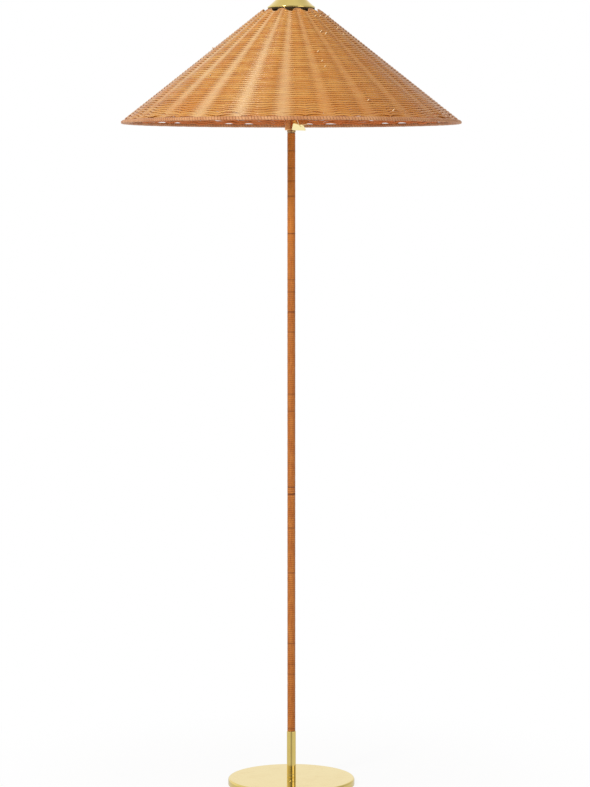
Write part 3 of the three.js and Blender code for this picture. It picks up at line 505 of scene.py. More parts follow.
iron = mottled_finish("cast_iron", (0.05, 0.05, 0.05), (0.09, 0.085, 0.08), 0.6, 0.85, 0.6, Metallic=0.6)
felt = mottled_finish("pressed_felt", (0.035, 0.034, 0.03), (0.06, 0.058, 0.052), 0.85, 1.0, 0.8, Sheen_Weight=0.4)
rubber = mottled_finish("black_rubber", (0.018, 0.018, 0.018), (0.03, 0.03, 0.03), 0.5, 0.7, 0.15)
plastic = mottled_finish("dark_moulding", (0.03, 0.024, 0.02), (0.045, 0.036, 0.03), 0.4, 0.55, 0.1)
ceramic = mottled_finish("glazed_ceramic", (0.80, 0.78, 0.73), (0.74, 0.71, 0.65), 0.15, 0.3, 0.05, Coat_Weight=0.5)
opal = mottled_finish("opal_glass", (0.92, 0.90, 0.84), (0.88, 0.86, 0.80), 0.12, 0.22, 0.02, Coat_Weight=0.6)
print("other finishes:", iron.name, felt.name, rubber.name, plastic.name, ceramic.name, opal.name)

# %% [markdown]
# ## Floor
# The photograph's ground is white, so the camera sees this large plane as white further out. Near the lamp part of its
# real shading is kept, and with it the lamp's soft shadow. Mirrors see it darker near the lamp.


# %% Floor
WHITE_SHARE = (0.12, 0.75, 0.90, 1.0)
MIRROR_SHARE = (0.5, 1.3, 0.75, 1.0)


def mirrored_gap(tree, where):
    """Darker straight in front of the lamp, where polished brass mirrors the gap between the soft boxes."""
    x, y, _ = split(tree, where)
    ahead = calculate(tree, "MAXIMUM", multiply(tree, y, -1.0), 0.001)
    sideways = calculate(tree, "DIVIDE", calculate(tree, "ABSOLUTE", x), ahead)
    return remap(tree, sideways, 0.10, 0.55, 0.48, 1.0)


def floor_finish():
    material, tree, shader, speckle = start_material("studio_floor", SPECKLE)
    coarse, fine = speckle.outputs
    tint = mix_in(tree, (0.92, 0.92, 0.915), (0.90, 0.90, 0.895), coarse, 0.3, 0.7)
    tree.links.new(tint, shader.inputs["Base Color"])
    tree.links.new(remap(tree, fine, 0.3, 0.7, 0.8, 0.9), shader.inputs["Roughness"])
    where = own_place(tree)
    distance = add_node(tree, "VectorMath", (where,), "Value", operation="LENGTH")
    seen, glossy = seen_directly(tree)
    mirrored = multiply(tree, mirrored_gap(tree, where), remap(tree, distance, *MIRROR_SHARE))
    white = add_node(tree, "Emission", {"Strength": remap(tree, glossy, 0.0, 1.0, 1.0, mirrored)})
    share = multiply(tree, seen, remap(tree, distance, *WHITE_SHARE))
    result = mix_shaders(tree, share, shader.outputs[0], white)
    tree.links.new(result, tree.nodes["Material Output"].inputs["Surface"])
    return material


def build_floor():
    bm = bmesh.new()
    bmesh.ops.create_grid(bm, x_segments=8, y_segments=8, size=14.0, matrix=Matrix.Translation((0, 0, -0.5 * MM)))
    floor = add_object("studio_floor", as_mesh("studio_floor", bm))
    floor.data.materials.append(floor_finish())
    return floor


print("floor:", build_floor().name)

# %% [markdown]
# ## Making and placing a piece
# Most of the lamp's metal was turned or spun, so most pieces here are an outline spun round the stem's axis. A spin
# leaves two coinciding rings where it closes, which `use_merge` joins. A bevel gives each sharp edge the thin highlight
# that real metal has. Long sides get a point more near both ends, so a soft edge bends the shading only beside itself.


# %% Helpers for pieces
SUPPORT = 1 * MM
VERT, EDGE = bmesh.types.BMVert, bmesh.types.BMEdge


def only(kind, items):
    return [item for item in items if isinstance(item, kind)]


def face_outwards(bm):
    bmesh.ops.recalc_face_normals(bm, faces=bm.faces)


def place_piece(name, bm, body, slot, materials, *nodes, sharp=40):
    """Smooths a finished bmesh, makes it an object and sets it to ride on its body in place of some solids."""
    for face in bm.faces:
        face.smooth = True
    for edge in bm.edges:
        edge.smooth = len(edge.link_faces) != 2 or edge.calc_face_angle() < math.radians(sharp)
    mesh = as_mesh(name, bm)
    for material in materials if isinstance(materials, list) else [materials]:
        mesh.materials.append(material)
    piece = add_object(name, mesh)
    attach(piece, body)
    if nodes:
        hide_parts(*nodes)
    print(f"{name}: {len(mesh.polygons)} faces, on {body}")
    return piece


def bevel_edges(bm, edges, width, segments):
    bmesh.ops.bevel(bm, geom=edges, offset=width, offset_type="OFFSET", segments=segments, profile=0.5,
                    affect="EDGES", clamp_overlap=True, material=-1)


def round_edges(bm, width, segments, angle=30):
    sharp = [e for e in bm.edges if len(e.link_faces) == 2 and e.calc_face_angle() > math.radians(angle)]
    bevel_edges(bm, sharp, width, segments)


def supported(outline):
    """An outline with a point more near both ends of each long side."""
    points = []
    for start, end in zip(outline, [*outline[1:], outline[0]]):
        points.append(start)
        way = Vector(end) - Vector(start)
        if way.length > 5 * SUPPORT and max(start[0], end[0]) > 0:
            step = way.normalized() * SUPPORT
            points += [tuple(Vector(start) + step), tuple(Vector(end) - step)]
    return points


def turned(outline, steps=72, bevel=0.0, segments=2):
    """Spins a closed outline of (radius, height) points round the stem's axis."""
    bm = bmesh.new()
    verts = [bm.verts.new((radius, 0, height)) for radius, height in supported(outline)]
    edges = [bm.edges.new(pair) for pair in zip(verts, verts[1:] + verts[:1])
             if max(vert.co.x for vert in pair) > 1e-7]
    bmesh.ops.spin(bm, geom=verts + edges, cent=(0, 0, 0), axis=(0, 0, 1), angle=2 * math.pi, steps=steps,
                   use_merge=True)
    bmesh.ops.remove_doubles(bm, verts=bm.verts, dist=1e-7)
    face_outwards(bm)
    if bevel:
        round_edges(bm, bevel, segments)
    return bm


def ring(bore, radius, low, top):
    """The outline of a plain ring, or of a disc where the bore is 0."""
    return [(bore, low), (radius, low), (radius, top), (bore, top)]


def arc(centre, radius, start, end, steps):
    """Points along an arc of a turned outline, with its angles in degrees."""
    angles = [math.radians(start + (end - start) * i / steps) for i in range(steps + 1)]
    return [(centre[0] + radius * math.cos(a), centre[1] + radius * math.sin(a)) for a in angles]


# %% [markdown]
# A rod is a circle extruded from point to point along a path. Each new ring is turned from the last one's direction to
# its own by the smallest turn, so the rod never twists.


# %% Helper for rods
def sweep(bm, path, radius, sides):
    """Adds a rod and gives back its vertices."""
    points = [Vector(point) for point in path]
    ways = [(b - a).normalized() for a, b in zip(points, points[1:])]
    ways = [ways[0]] + [(a + b).normalized() for a, b in zip(ways, ways[1:])] + [ways[-1]]
    start = Matrix.Translation(points[0]) @ ways[0].to_track_quat("Z", "Y").to_matrix().to_4x4()
    verts = bmesh.ops.create_circle(bm, segments=sides, radius=radius, cap_ends=True, matrix=start)["verts"]
    edges = verts[0].link_faces[0].edges[:]
    for i in range(1, len(points)):
        grown = bmesh.ops.extrude_edge_only(bm, edges=edges)["geom"]
        edges, moved = only(EDGE, grown), only(VERT, grown)
        turn = ways[i - 1].rotation_difference(ways[i]).to_matrix().to_4x4()
        move = Matrix.Translation(points[i]) @ turn @ Matrix.Translation(-points[i - 1])
        bmesh.ops.transform(bm, matrix=move, verts=moved)
        verts += moved
    bmesh.ops.contextual_create(bm, geom=edges)
    return verts


def curve_through(points, steps):
    """A smooth path through a few points, with a number of steps between each two."""
    points = [Vector(point) for point in points]
    ends = [2 * points[0] - points[1], *points, 2 * points[-1] - points[-2]]
    path = []
    for before, a, b, after in zip(ends, ends[1:], ends[2:], ends[3:]):
        for t in (k / steps for k in range(steps)):
            path.append(0.5 * (2 * a + (b - before) * t + (2 * before - 5 * a + 4 * b - after) * t**2
                               + (3 * a - before - 3 * b + after) * t**3))
    return path + [points[-1]]


# %% Helper for holes
def drill(piece, start, end, radius):
    """Cuts a round hole through a piece, with a tool body that is thrown away afterwards."""
    bm = bmesh.new()
    sweep(bm, [start, end], radius, 32)
    face_outwards(bm)
    tool = add_object("tool", as_mesh("tool", bm))
    cut = piece.modifiers.new("hole", "BOOLEAN")
    cut.object, cut.operation, cut.solver = tool, "DIFFERENCE", "EXACT"
    holed = bpy.data.meshes.new_from_object(piece.evaluated_get(bpy.context.evaluated_depsgraph_get()))
    piece.modifiers.clear()
    piece.data = holed
    bpy.data.objects.remove(tool)
    print(f"{piece.name}: drilled, {len(holed.polygons)} faces")


# %% [markdown]
# ## Base and foot
# The base is a pressed and highly polished brass cover with a soft top edge, over a round iron weight. The foot tube
# stands in a thin locking collar. Its chamfered top shows as a fine bright line in the photograph. The lead leaves
# through a gland at the back, so the tube has a hole there.

# %% Base cover and collar
COVER_EDGE, COVER_WALL = 3.5 * MM, 1.2 * MM
edge_centre = (BASE_RADIUS - COVER_EDGE, BASE_TOP - COVER_EDGE)
cover_outline = [
    (BASE_RADIUS, COVER_LOW),
    *arc(edge_centre, COVER_EDGE, 0, 90, 12),
    (BORE, BASE_TOP),
    (BORE, BASE_TOP - COVER_WALL),
    *arc(edge_centre, COVER_EDGE - COVER_WALL, 90, 0, 8),
    (BASE_RADIUS - COVER_WALL, COVER_LOW),
]
place_piece("base_shell", turned(cover_outline, 192), "stand", "brass", brass, "base_cover")
collar = turned(ring(BORE, FOOT_RADIUS, *span("foot_collar")), 64, 0.35 * MM)
place_piece("locking_collar", collar, "stand", "brass", brass, "foot_collar")

# %% Foot tube
CHAMFER = 0.5 * MM
GLAND_HOLE, PAST_WALL = 3.6 * MM, 12 * MM
foot_outline = [
    (BORE, FOOT_LOW),
    (FOOT_RADIUS, FOOT_LOW),
    (FOOT_RADIUS, FOOT_TOP - CHAMFER),
    (FOOT_RADIUS - CHAMFER, FOOT_TOP),
    (BORE, FOOT_TOP),
]
foot = place_piece("foot_sleeve", turned(foot_outline, 64, 0.15 * MM), "stand", "brass", brass, "foot_tube")
gland_height = sum(span("cord_gland")) / 2
drill(foot, (0, 0, gland_height), (0, PAST_WALL, gland_height), GLAND_HOLE)

# %% [markdown]
# The felt pad under the base and the felt under the shade's hub are rings with soft edges, spun anew.

# %% Felt pieces
for name, node, body, bore in (
    ("floor_pad", "base_pad", "stand", 6 * MM),
    ("seat_felt", "seat_washer", "shade_seat", 3.4 * MM),
):
    outline = ring(bore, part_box(node)[1].x, *span(node))
    place_piece(name, turned(outline, 96, 0.4 * MM, 3), body, "felt", felt, node)

# %% [markdown]
# ## Wound stem
# A flat strip of cane is wound edge to edge round the steel tube, nearly 290 turns in all. Its section is a thin closed
# outline, a little crowned on top. The spin operator also takes a step along the axis, which makes it wind a real
# helix. The ends are then cut square with two planes and closed.
#
# A spin slows down as its mesh grows. So only an eighth of a winding is spun. It is then doubled three times, each time
# moved on by its own length, and the seams are welded.

# %% Winding a strip
STRIP_PITCH, STRIP_THICKNESS, STRIP_PROUD = 3.72 * MM, 1.1 * MM, 0.04 * MM
STRIP_STEPS = 16
SWELL, SWELL_WAVES = 0.05 * MM, (61, 423)
CROWN = ((0.01, -0.34), (0.12, -0.08), (0.34, 0.0), (0.66, 0.0), (0.88, -0.08), (0.99, -0.34))
DOUBLINGS = 3
STRETCHES = 2**DOUBLINGS


def repeat(bm, move):
    """Doubles the mesh a few times. The move takes the first stretch to the place of the second."""
    for _ in range(DOUBLINGS):
        copied = bmesh.ops.duplicate(bm, geom=bm.verts[:] + bm.edges[:] + bm.faces[:])["geom"]
        bmesh.ops.transform(bm, matrix=move, verts=only(VERT, copied))
        move = move @ move
    bmesh.ops.remove_doubles(bm, verts=bm.verts, dist=2e-6)


def wind_strip(radius, pitch, first_turn, turns, thickness, steps):
    """A strip wound round the Z axis for at least some turns, with `run` and `edge` marked on it."""
    stretch = math.ceil(turns / STRETCHES)
    bm = bmesh.new()
    run = bm.verts.layers.float.new("run")
    edge = bm.verts.layers.float.new("edge")
    section = [(share, radius + drop * MM) for share, drop in CROWN]
    section += [(0.99, radius - thickness), (0.01, radius - thickness)]
    verts = []
    for share, distance in section:
        vert = bm.verts.new((distance, 0, pitch * (first_turn + share)))
        vert[edge] = share
        verts.append(vert)
    edges = [bm.edges.new(pair) for pair in zip(verts, verts[1:] + verts[:1])]
    bmesh.ops.spin(bm, geom=verts + edges, cent=(0, 0, 0), axis=(0, 0, 1), dvec=(0, 0, pitch / steps),
                   angle=2 * math.pi * stretch, steps=steps * stretch, use_merge=False)
    repeat(bm, Matrix.Translation((0, 0, pitch * stretch)))
    for vert in bm.verts:
        vert[run] = vert.co.z / pitch - vert[edge]
    return bm


def cut_square(bm, height, keep_above):
    cut = bmesh.ops.bisect_plane(bm, geom=bm.verts[:] + bm.edges[:] + bm.faces[:], dist=1e-7, plane_co=(0, 0, height),
                                 plane_no=(0, 0, -1 if keep_above else 1), clear_outer=True)
    bmesh.ops.holes_fill(bm, edges=only(EDGE, cut["geom_cut"]), sides=0)


def stem_winding(name, node):
    low, high = span(node)
    first = math.floor(low / STRIP_PITCH) - 2
    turns = math.ceil(high / STRIP_PITCH) + 1 - first
    bm = wind_strip(WRAP_RADIUS + STRIP_PROUD, STRIP_PITCH, first, turns, STRIP_THICKNESS, STRIP_STEPS)
    # Hand winding is never quite even: the strip swells and thins slowly along the stem
    slow, quick = SWELL_WAVES
    for vert in bm.verts:
        swell = SWELL * math.sin(vert.co.z * slow) * math.sin(vert.co.z * quick)
        vert.co.xy *= 1 + swell / WRAP_RADIUS
    cut_square(bm, low, keep_above=True)
    cut_square(bm, high, keep_above=False)
    face_outwards(bm)
    place_piece(name, bm, "stand", "cane", stem_cane, node, sharp=75)


# %% The three windings of the stem
stem_winding("cane_lower", "lower_stem_wrap")
stem_winding("cane_joint", "stem_joint_wrap")
stem_winding("cane_upper", "upper_stem_wrap")

# %% [markdown]
# ## Switch housing and key
# A ring closes the winding. Above it a plain turned cup holds the switch, and its lid carries the lampholder. The key's
# spindle comes out at the front right through a small bush.

# %% Ring, housing and lid
HOUSING_LOW, HOUSING_TOP = span("switch_housing")
HOUSING_RADIUS, HOUSING_WALL, HOUSING_FLOOR, HOUSING_CHAMFER = 11.5 * MM, 1.5 * MM, 2 * MM, 0.7 * MM
SPINDLE_HOLE, LID_BORE = 3.1 * MM, 5.3 * MM
ring_low, ring_top = span("stem_top_ring")
ring_outline = [(BORE, ring_low), (7.3 * MM, ring_low), (7.8 * MM, ring_top), (BORE, ring_top)]
# The ring's dark brown brass is painted shade.
place_piece("closing_ring", turned(ring_outline, 64, 0.3 * MM), "stand", "brass", painted_shade_ring_brass, "stem_top_ring")
housing_outline = [
    (BORE, HOUSING_LOW),
    (HOUSING_RADIUS - HOUSING_CHAMFER, HOUSING_LOW),
    (HOUSING_RADIUS, HOUSING_LOW + HOUSING_CHAMFER),
    (HOUSING_RADIUS, HOUSING_TOP),
    (HOUSING_RADIUS - HOUSING_WALL, HOUSING_TOP),
    (HOUSING_RADIUS - HOUSING_WALL, HOUSING_LOW + HOUSING_FLOOR),
    (BORE, HOUSING_LOW + HOUSING_FLOOR),
]
housing = turned(housing_outline, 72, 0.2 * MM)
# The cup's warm brass is a painted reflection of the warm shade.
housing = place_piece("switch_cup", housing, "stand", "brass", warm_reflection_brass, "switch_housing")
key_way = Vector((math.sin(KEY_AZIMUTH), -math.cos(KEY_AZIMUTH), 0))
key_axis = Vector((0, 0, KEY_HEIGHT))
drill(housing, *(key_axis + key_way * reach * MM for reach in (5, 16)), SPINDLE_HOLE)
lid = turned(ring(LID_BORE, HOUSING_RADIUS, *span("housing_lid")), 72, 0.25 * MM)
place_piece("cup_lid", lid, "stand", "brass", brass, "housing_lid")

# %% [markdown]
# The key has two flat wings like a butterfly's, each turned a little out of line, so one mirrors the white room and the
# other the warm shade. A wing is one flat face, extruded to its thickness and rounded on all its edges. The wings are
# built upright round the Z axis first and then laid along the spindle.

# %% Key
WING_WIDTH, WING_HEIGHT, WING_THICKNESS = 34 * MM, 21 * MM, 1.8 * MM
WING_CORNER, WING_EDGE = 2.2 * MM, 0.5 * MM
WING_TURN = math.radians(18)
LOWER_WING = ((-0.14, 0.05), (-0.52, 0.17), (-0.51, -0.47), (0.38, -0.49), (0.17, -0.03))
UPPER_WING = ((0.17, -0.03), (0.43, 0.08), (0.46, 0.48), (-0.2, 0.51), (-0.14, 0.05))
KEY_PLACE = Matrix((
    (math.cos(KEY_AZIMUTH), 0, key_way.x, 0),
    (math.sin(KEY_AZIMUTH), 0, key_way.y, 0),
    (0, 1, 0, KEY_HEIGHT),
    (0, 0, 0, 1),
))


def join(bm, other):
    """Adds another bmesh to this one."""
    mesh = as_mesh("part", other)
    bm.from_mesh(mesh)
    bpy.data.meshes.remove(mesh)


def add_wing(bm, outline, turn):
    wing = bmesh.new()
    corners = [wing.verts.new((u * WING_WIDTH, v * WING_HEIGHT, -WING_THICKNESS / 2)) for u, v in outline]
    grown = bmesh.ops.extrude_face_region(wing, geom=[wing.faces.new(corners)])["geom"]
    bmesh.ops.translate(wing, verts=only(VERT, grown), vec=(0, 0, WING_THICKNESS))
    upright = [e for e in wing.edges if abs((e.verts[0].co - e.verts[1].co).z) > WING_THICKNESS / 2]
    bevel_edges(wing, upright, WING_CORNER, 5)
    face_outwards(wing)
    round_edges(wing, WING_EDGE, 3, 50)
    lean = Matrix.Translation((0, 0, KEY_REACH)) @ Matrix.Rotation(turn, 4, "X")
    bmesh.ops.transform(wing, matrix=lean, verts=wing.verts)
    join(bm, wing)


hub = ((2.1, -3.5), (3.2, -3.5), (3.6, -2.4), (3.6, 1.4), (2.6, 3.0), (0, 3.5), (0, 0.3), (2.1, 0.3))
key = turned(raised(KEY_REACH, *hub), 40, 0.2 * MM)
add_wing(key, LOWER_WING, WING_TURN)
add_wing(key, UPPER_WING, -WING_TURN)
bmesh.ops.transform(key, matrix=KEY_PLACE, verts=key.verts)
# The key's pale brass is a painted reflection of the white room.
place_piece("key_wings", key, "key", "brass", painted_pale_reflection_brass, "switch_key")

# %% Spindle and bush
spindle_outline = ring(0, 1.8 * MM, 6.5 * MM, KEY_REACH)
bush_outline = raised(0, (1.9, 10), (3.0, 10), (3.0, 11.8), (4.4, 11.8), (4.4, 13.8), (1.9, 13.8))
for name, outline, body, slot, material, node in (
    ("key_spindle", spindle_outline, "key", "steel", steel, "switch_spindle"),
    ("key_bush", bush_outline, "stand", "brass", brass, "switch_bush"),
):
    bm = turned(outline, 40, 0.2 * MM)
    bmesh.ops.transform(bm, matrix=KEY_PLACE, verts=bm.verts)
    place_piece(name, bm, body, slot, material, node)

# %% [markdown]
# ## Lampholder and bulb
# These sit up inside the shade and show from below: the holder's shell with its grip rings, the bulb's cap with its
# rolled thread, and the globe of opal glass, drawn as one thin wall.

# %% Lampholder
HOLDER_RADIUS, HOLDER_WALL, HOLDER_EDGE, GRIP_DEPTH = 20.5 * MM, 1.4 * MM, 1 * MM, 0.4 * MM
HOLDER_BORE = HOLDER_RADIUS - HOLDER_WALL
cap_low, cap_top = span("lampholder_cap")
holder_cap_outline = [
    *raised(cap_low, (5.3, 0), (11.5, 0), (15.2, 2.0), (18.7, 5)),
    (HOLDER_RADIUS, cap_top - HOLDER_EDGE),
    (HOLDER_RADIUS, cap_top),
    (HOLDER_BORE, cap_top),
    (HOLDER_BORE, cap_top - HOLDER_EDGE),
    *raised(cap_low + HOLDER_WALL, (10.5, 0), (5.3, 0)),
]
place_piece("holder_cap", turned(holder_cap_outline, 72, 0.2 * MM), "stand", "brass", inner_brass, "lampholder_cap")
shell_low, shell_top = span("lampholder_shell")
shell_outline = [(HOLDER_BORE, shell_low), (HOLDER_RADIUS, shell_low)]
for grip in range(6):
    height = shell_low + (5 + 3.4 * grip) * MM
    shell_outline += [(HOLDER_RADIUS, height), (HOLDER_RADIUS - GRIP_DEPTH, height + 0.8 * MM)]
    shell_outline.append((HOLDER_RADIUS, height + 1.6 * MM))
shell_outline += [(HOLDER_RADIUS, shell_top), (HOLDER_BORE, shell_top)]
place_piece("holder_shell", turned(shell_outline), "stand", "brass", inner_brass, "lampholder_shell", sharp=60)

# %% Bulb
GLOBE_RADIUS, NECK_RADIUS, GLASS = 30 * MM, 12.9 * MM, 0.9 * MM
glass_low, glass_top = span("bulb_glass")
globe_centre = (0, glass_top - GLOBE_RADIUS)
neck_turn = math.asin(NECK_RADIUS / GLOBE_RADIUS)
neck_angle = math.degrees(neck_turn) - 90
waist = globe_centre[1] - GLOBE_RADIUS * math.cos(neck_turn)
globe_outline = [
    (NECK_RADIUS, glass_low),
    (NECK_RADIUS, glass_low + 0.55 * (waist - glass_low)),
    (NECK_RADIUS + 0.3 * MM, glass_low + 0.8 * (waist - glass_low)),
    *arc(globe_centre, GLOBE_RADIUS, neck_angle, 90, 28)[1:-1],
    (0, glass_top),
    (0, glass_top - GLASS),
    *arc(globe_centre, GLOBE_RADIUS - GLASS, 90, neck_angle, 20)[1:-1],
    (NECK_RADIUS - GLASS, glass_low),
]
place_piece("globe", turned(globe_outline), "bulb", "opal_glass", opal, "bulb_glass", sharp=70)
screw_low, screw_top = span("bulb_base")
screw_outline = raised(screw_low, (0, 0), (4.5, 0), (12.4, 4.5))
for turn in range(5):
    height = screw_low + (5.5 + 3.1 * turn) * MM
    screw_outline += raised(height, (13.2, 0), (13.2, 0.8), (12.3, 1.6), (12.3, 2.3))
screw_outline += [*raised(screw_low, (13.2, 21.6)), (13.2 * MM, screw_top), (0, screw_top)]
place_piece("screw_cap", turned(screw_outline), "bulb", "steel", steel, "bulb_base", sharp=60)

# %% [markdown]
# The bow is a wire bent round the bulb from a strap under the lampholder, and the shade's stud stands on its top. It is
# swept along one smooth path.

# %% Bow
BOW_ROD, BOW_FOOT_REACH, BOW_REACH, BOW_TOP_REACH = 2 * MM, 29 * MM, 45 * MM, 22.5 * MM
bow_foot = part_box("bow_saddle")[0].z + 1.8 * MM
bow_top = glass_top + 39.6 * MM
bow_height = bow_top - bow_foot
bow_side = [
    (BOW_FOOT_REACH, bow_foot),
    (BOW_FOOT_REACH, bow_foot + 9 * MM),
    (BOW_REACH, bow_foot + 0.3 * bow_height),
    (BOW_REACH, bow_foot + 0.72 * bow_height),
    (BOW_TOP_REACH, bow_top),
]
bow_points = [(-x, 0, z) for x, z in bow_side] + [(0, 0, bow_top)] + [(x, 0, z) for x, z in reversed(bow_side)]
bow = bmesh.new()
sweep(bow, curve_through(bow_points, 10), BOW_ROD, 16)
face_outwards(bow)
place_piece("carrier_bow", bow, "stand", "brass", inner_brass, "shade_bow", sharp=60)

# %% [markdown]
# ## Woven shade
# Twenty-four stakes run up the slope. About a hundred round strands go round, and each passes in front of one stake and
# behind the next, with the row above doing the opposite. Halfway between two stakes all the strands cross at the same
# depth, which is why the photograph shows twenty-four plain bright stripes with rows of bolder strands between them.
# All rings are spun in one go. A wave then moves them in and out past the stakes, where they are pressed wider, so that
# no gap stays open. Small seeded waves keep the rows uneven. Two slits beside the rim open and close between stakes.

# %% Rows of the weave
STRAND_PITCH = 2.92 * MM
STRAND_ALONG, STRAND_OUT = 1.84 * MM, 1.25 * MM
WEAVE_DEPTH = 1.45 * MM
EDGE_ROWS, EDGE_START = 3, 9.4 * MM
BODY_ROWS, BODY_START = 100, 20.3 * MM
TOP_ROW = EDGE_ROWS + BODY_ROWS - 1
RING_STEPS = 10 * STAKES
random.seed(12)
WANDER = [[(wave, random.uniform(0.4, 1.0), random.uniform(0, 2 * math.pi)) for wave in waves]
          for waves in ((1, 2, 3, 5), *[(3, 4, 7, 11)] * (EDGE_ROWS + BODY_ROWS))]
SLIT_ENDS = [random.uniform(0.12, 0.32) for _ in range(2 * STAKES)]
UPPER_SLITS = [(random.uniform(0.3, 0.7), random.uniform(0.0, 0.26)) for _ in range(STAKES)]
SLIT, UPPER_SLIT, SLIT_END = 3.4 * MM, 2.2 * MM, 0.12
MARKS = ("strand", "inside", "highlight_stripe_mask")
WIDENING, FLAT_SHARE = 0.50, 1.6
ROW_WANDER, SHARED_WANDER, DEPTH_WANDER = 0.16 * MM, 0.5 * MM, 0.05
CALM_UP_TO, CALM_FADE = 20 * MM, 80 * MM
SLIT_FADE = 12 * STRAND_PITCH
SCALLOP, SCALLOP_ROWS = 1.5 * MM, 9


def held(value):
    return min(1.0, max(0.0, value))


def wander(angle, row, size):
    """A slow seeded wave round the shade that closes on itself."""
    return size * sum(share * math.sin(wave * angle + start) for wave, share, start in WANDER[row]) / 2


def slits(angle):
    """How far the slit beside the rim and the one above the edge rows are closed here, from 0 to 1."""
    turn = angle / STAKE_STEP
    tie = round(2 * turn)
    near_tie = abs(2 * turn - tie) / SLIT_ENDS[tie % len(SLIT_ENDS)]
    middle, half_width = UPPER_SLITS[math.floor(turn) % STAKES]
    off_slit = abs(turn - math.floor(turn) - middle) - half_width
    return 1 / (1 + near_tie**6), held(off_slit / SLIT_END)


def strand_rings(first_row, rows, start):
    """Rings for some rows of the weave, spun together, with each row's number kept for the material."""
    bm = bmesh.new()
    for mark in MARKS:
        bm.verts.layers.float.new(mark)
    strand = bm.verts.layers.float["strand"]
    lean = Matrix.Rotation(SLOPE, 4, "Y") @ Matrix.Rotation(math.pi / 2, 4, "X")
    squeeze = Matrix.Diagonal((STRAND_ALONG, STRAND_OUT, 1, 1))
    for row in range(rows):
        along = start + row * STRAND_PITCH
        place = Matrix.Translation((SLOPE_RADIUS - along * RUN, 0, SLOPE_FOOT + along * RISE))
        section = bmesh.ops.create_circle(bm, segments=8, radius=1, cap_ends=False, matrix=place @ lean @ squeeze)
        for vert in section["verts"]:
            vert[strand] = first_row + row + 1
    stretch = 2 * math.pi / STRETCHES
    bmesh.ops.spin(bm, geom=bm.verts[:] + bm.edges[:], cent=(0, 0, 0), axis=(0, 0, 1), angle=stretch,
                   steps=RING_STEPS // STRETCHES, use_merge=False)
    repeat(bm, Matrix.Rotation(stretch, 4, "Z"))
    face_outwards(bm)
    return bm


def weave_rings(bm, start, first_row):
    """Moves every ring in front of and behind the stakes, and lets it wander and thicken a little."""
    strand, inside, highlight_stripe_mask = (bm.verts.layers.float[mark] for mark in MARKS)
    for vert in bm.verts:
        row = round(vert[strand]) - 1
        angle = math.atan2(vert.co.y, vert.co.x)
        inward, upward = SLOPE_RADIUS - math.hypot(vert.co.x, vert.co.y), vert.co.z - SLOPE_FOOT
        along = inward * RUN + upward * RISE
        out = upward * RUN - inward * RISE
        middle = start + (row - first_row) * STRAND_PITCH
        past = math.cos(STAKES / 2 * angle)
        # The inside mask lets the rattan finish paint the inner side darker and redder, as painted shade.
        vert[inside] = max(0.0, -out / STRAND_OUT)
        # This mask marks the plain stripes, where the rattan finish paints on a highlight.
        vert[highlight_stripe_mask] = 1 - held(past * past * FLAT_SHARE)
        along = middle + (along - middle) * (1 + WIDENING * past * past) + wander(angle, row + 1, ROW_WANDER)
        along += wander(angle, 0, SHARED_WANDER) * held((middle - CALM_UP_TO) / CALM_FADE)
        if middle < BODY_START + SLIT_FADE:
            lower, upper = slits(angle)
            drop = lower * SLIT
            if middle >= BODY_START:
                drop = (drop + upper * UPPER_SLIT) * (1 - (middle - BODY_START) / SLIT_FADE)
            along -= drop
        elif row > TOP_ROW - SCALLOP_ROWS:
            along += SCALLOP * math.sin(STAKES / 2 * angle) * (row + SCALLOP_ROWS - TOP_ROW) / SCALLOP_ROWS
        side = 1 if row % 2 else -1
        out += side * WEAVE_DEPTH * past * (1 + wander(angle, row + 1, DEPTH_WANDER))
        vert.co = on_slope(angle, along, out)


# %% Weave
QUARTER = BODY_ROWS // 4
WEAVE_PIECES = [("weave_edge", 0, EDGE_ROWS, EDGE_START)]
for part in range(4):
    first = QUARTER * part
    WEAVE_PIECES.append((f"weave_{part + 1}", EDGE_ROWS + first, QUARTER, BODY_START + first * STRAND_PITCH))
for name, first_row, rows, start in WEAVE_PIECES:
    rings = strand_rings(first_row, rows, start)
    weave_rings(rings, start, first_row)
    replaced = ("shade_weave",) if name == "weave_1" else ()
    place_piece(name, rings, "shade", "rattan", weave_rattan, *replaced, sharp=180)

# %% [markdown]
# ## Stakes
# At the top the stakes' ends are bent over in pairs and pushed back down beside each other, which makes the twelve flat
# loops under the cap, with a notch between each two. Each pair is one rod, swept up one stake, over and down the next,
# and a thinner rod fills the loop.

# %% Stakes
# For a pair's outer and inner rod: where it starts, where its arch begins, the arch's height, its radius and its inset
OUTER_LEG, INNER_LEG = SLANT - 7.2 * MM, SLANT - 8.4 * MM
RODS = ((2.2 * MM, OUTER_LEG, 7.4 * MM, 1.3 * MM, 0), (INNER_LEG - 12 * MM, INNER_LEG, 5.6 * MM, 1.2 * MM, 0.05))
LEG_STEP, ARCH_STEPS, ARCH_OUT = 16 * MM, 12, 0.8 * MM


def looped_stake(bm, pair, foot, leg, rise, radius, inset):
    """One rod up the pair's left stake, over in a flat arch and down the right one, set in a little at both."""
    left, right = pair * STAKE_STEP + inset, (pair + 1) * STAKE_STEP - inset
    count = max(2, round(leg / LEG_STEP))
    heights = [foot + (leg - foot) * k / count for k in range(count + 1)]
    path = [on_slope(left, along) for along in heights]
    for k in range(1, ARCH_STEPS):
        turn = math.pi * k / ARCH_STEPS
        angle = left + (right - left) * (0.5 - 0.5 * math.cos(turn))
        path.append(on_slope(angle, leg + rise * math.sin(turn)**0.7, ARCH_OUT))
    path += [on_slope(right, along) for along in reversed(heights)]
    return sweep(bm, path, radius, 10)


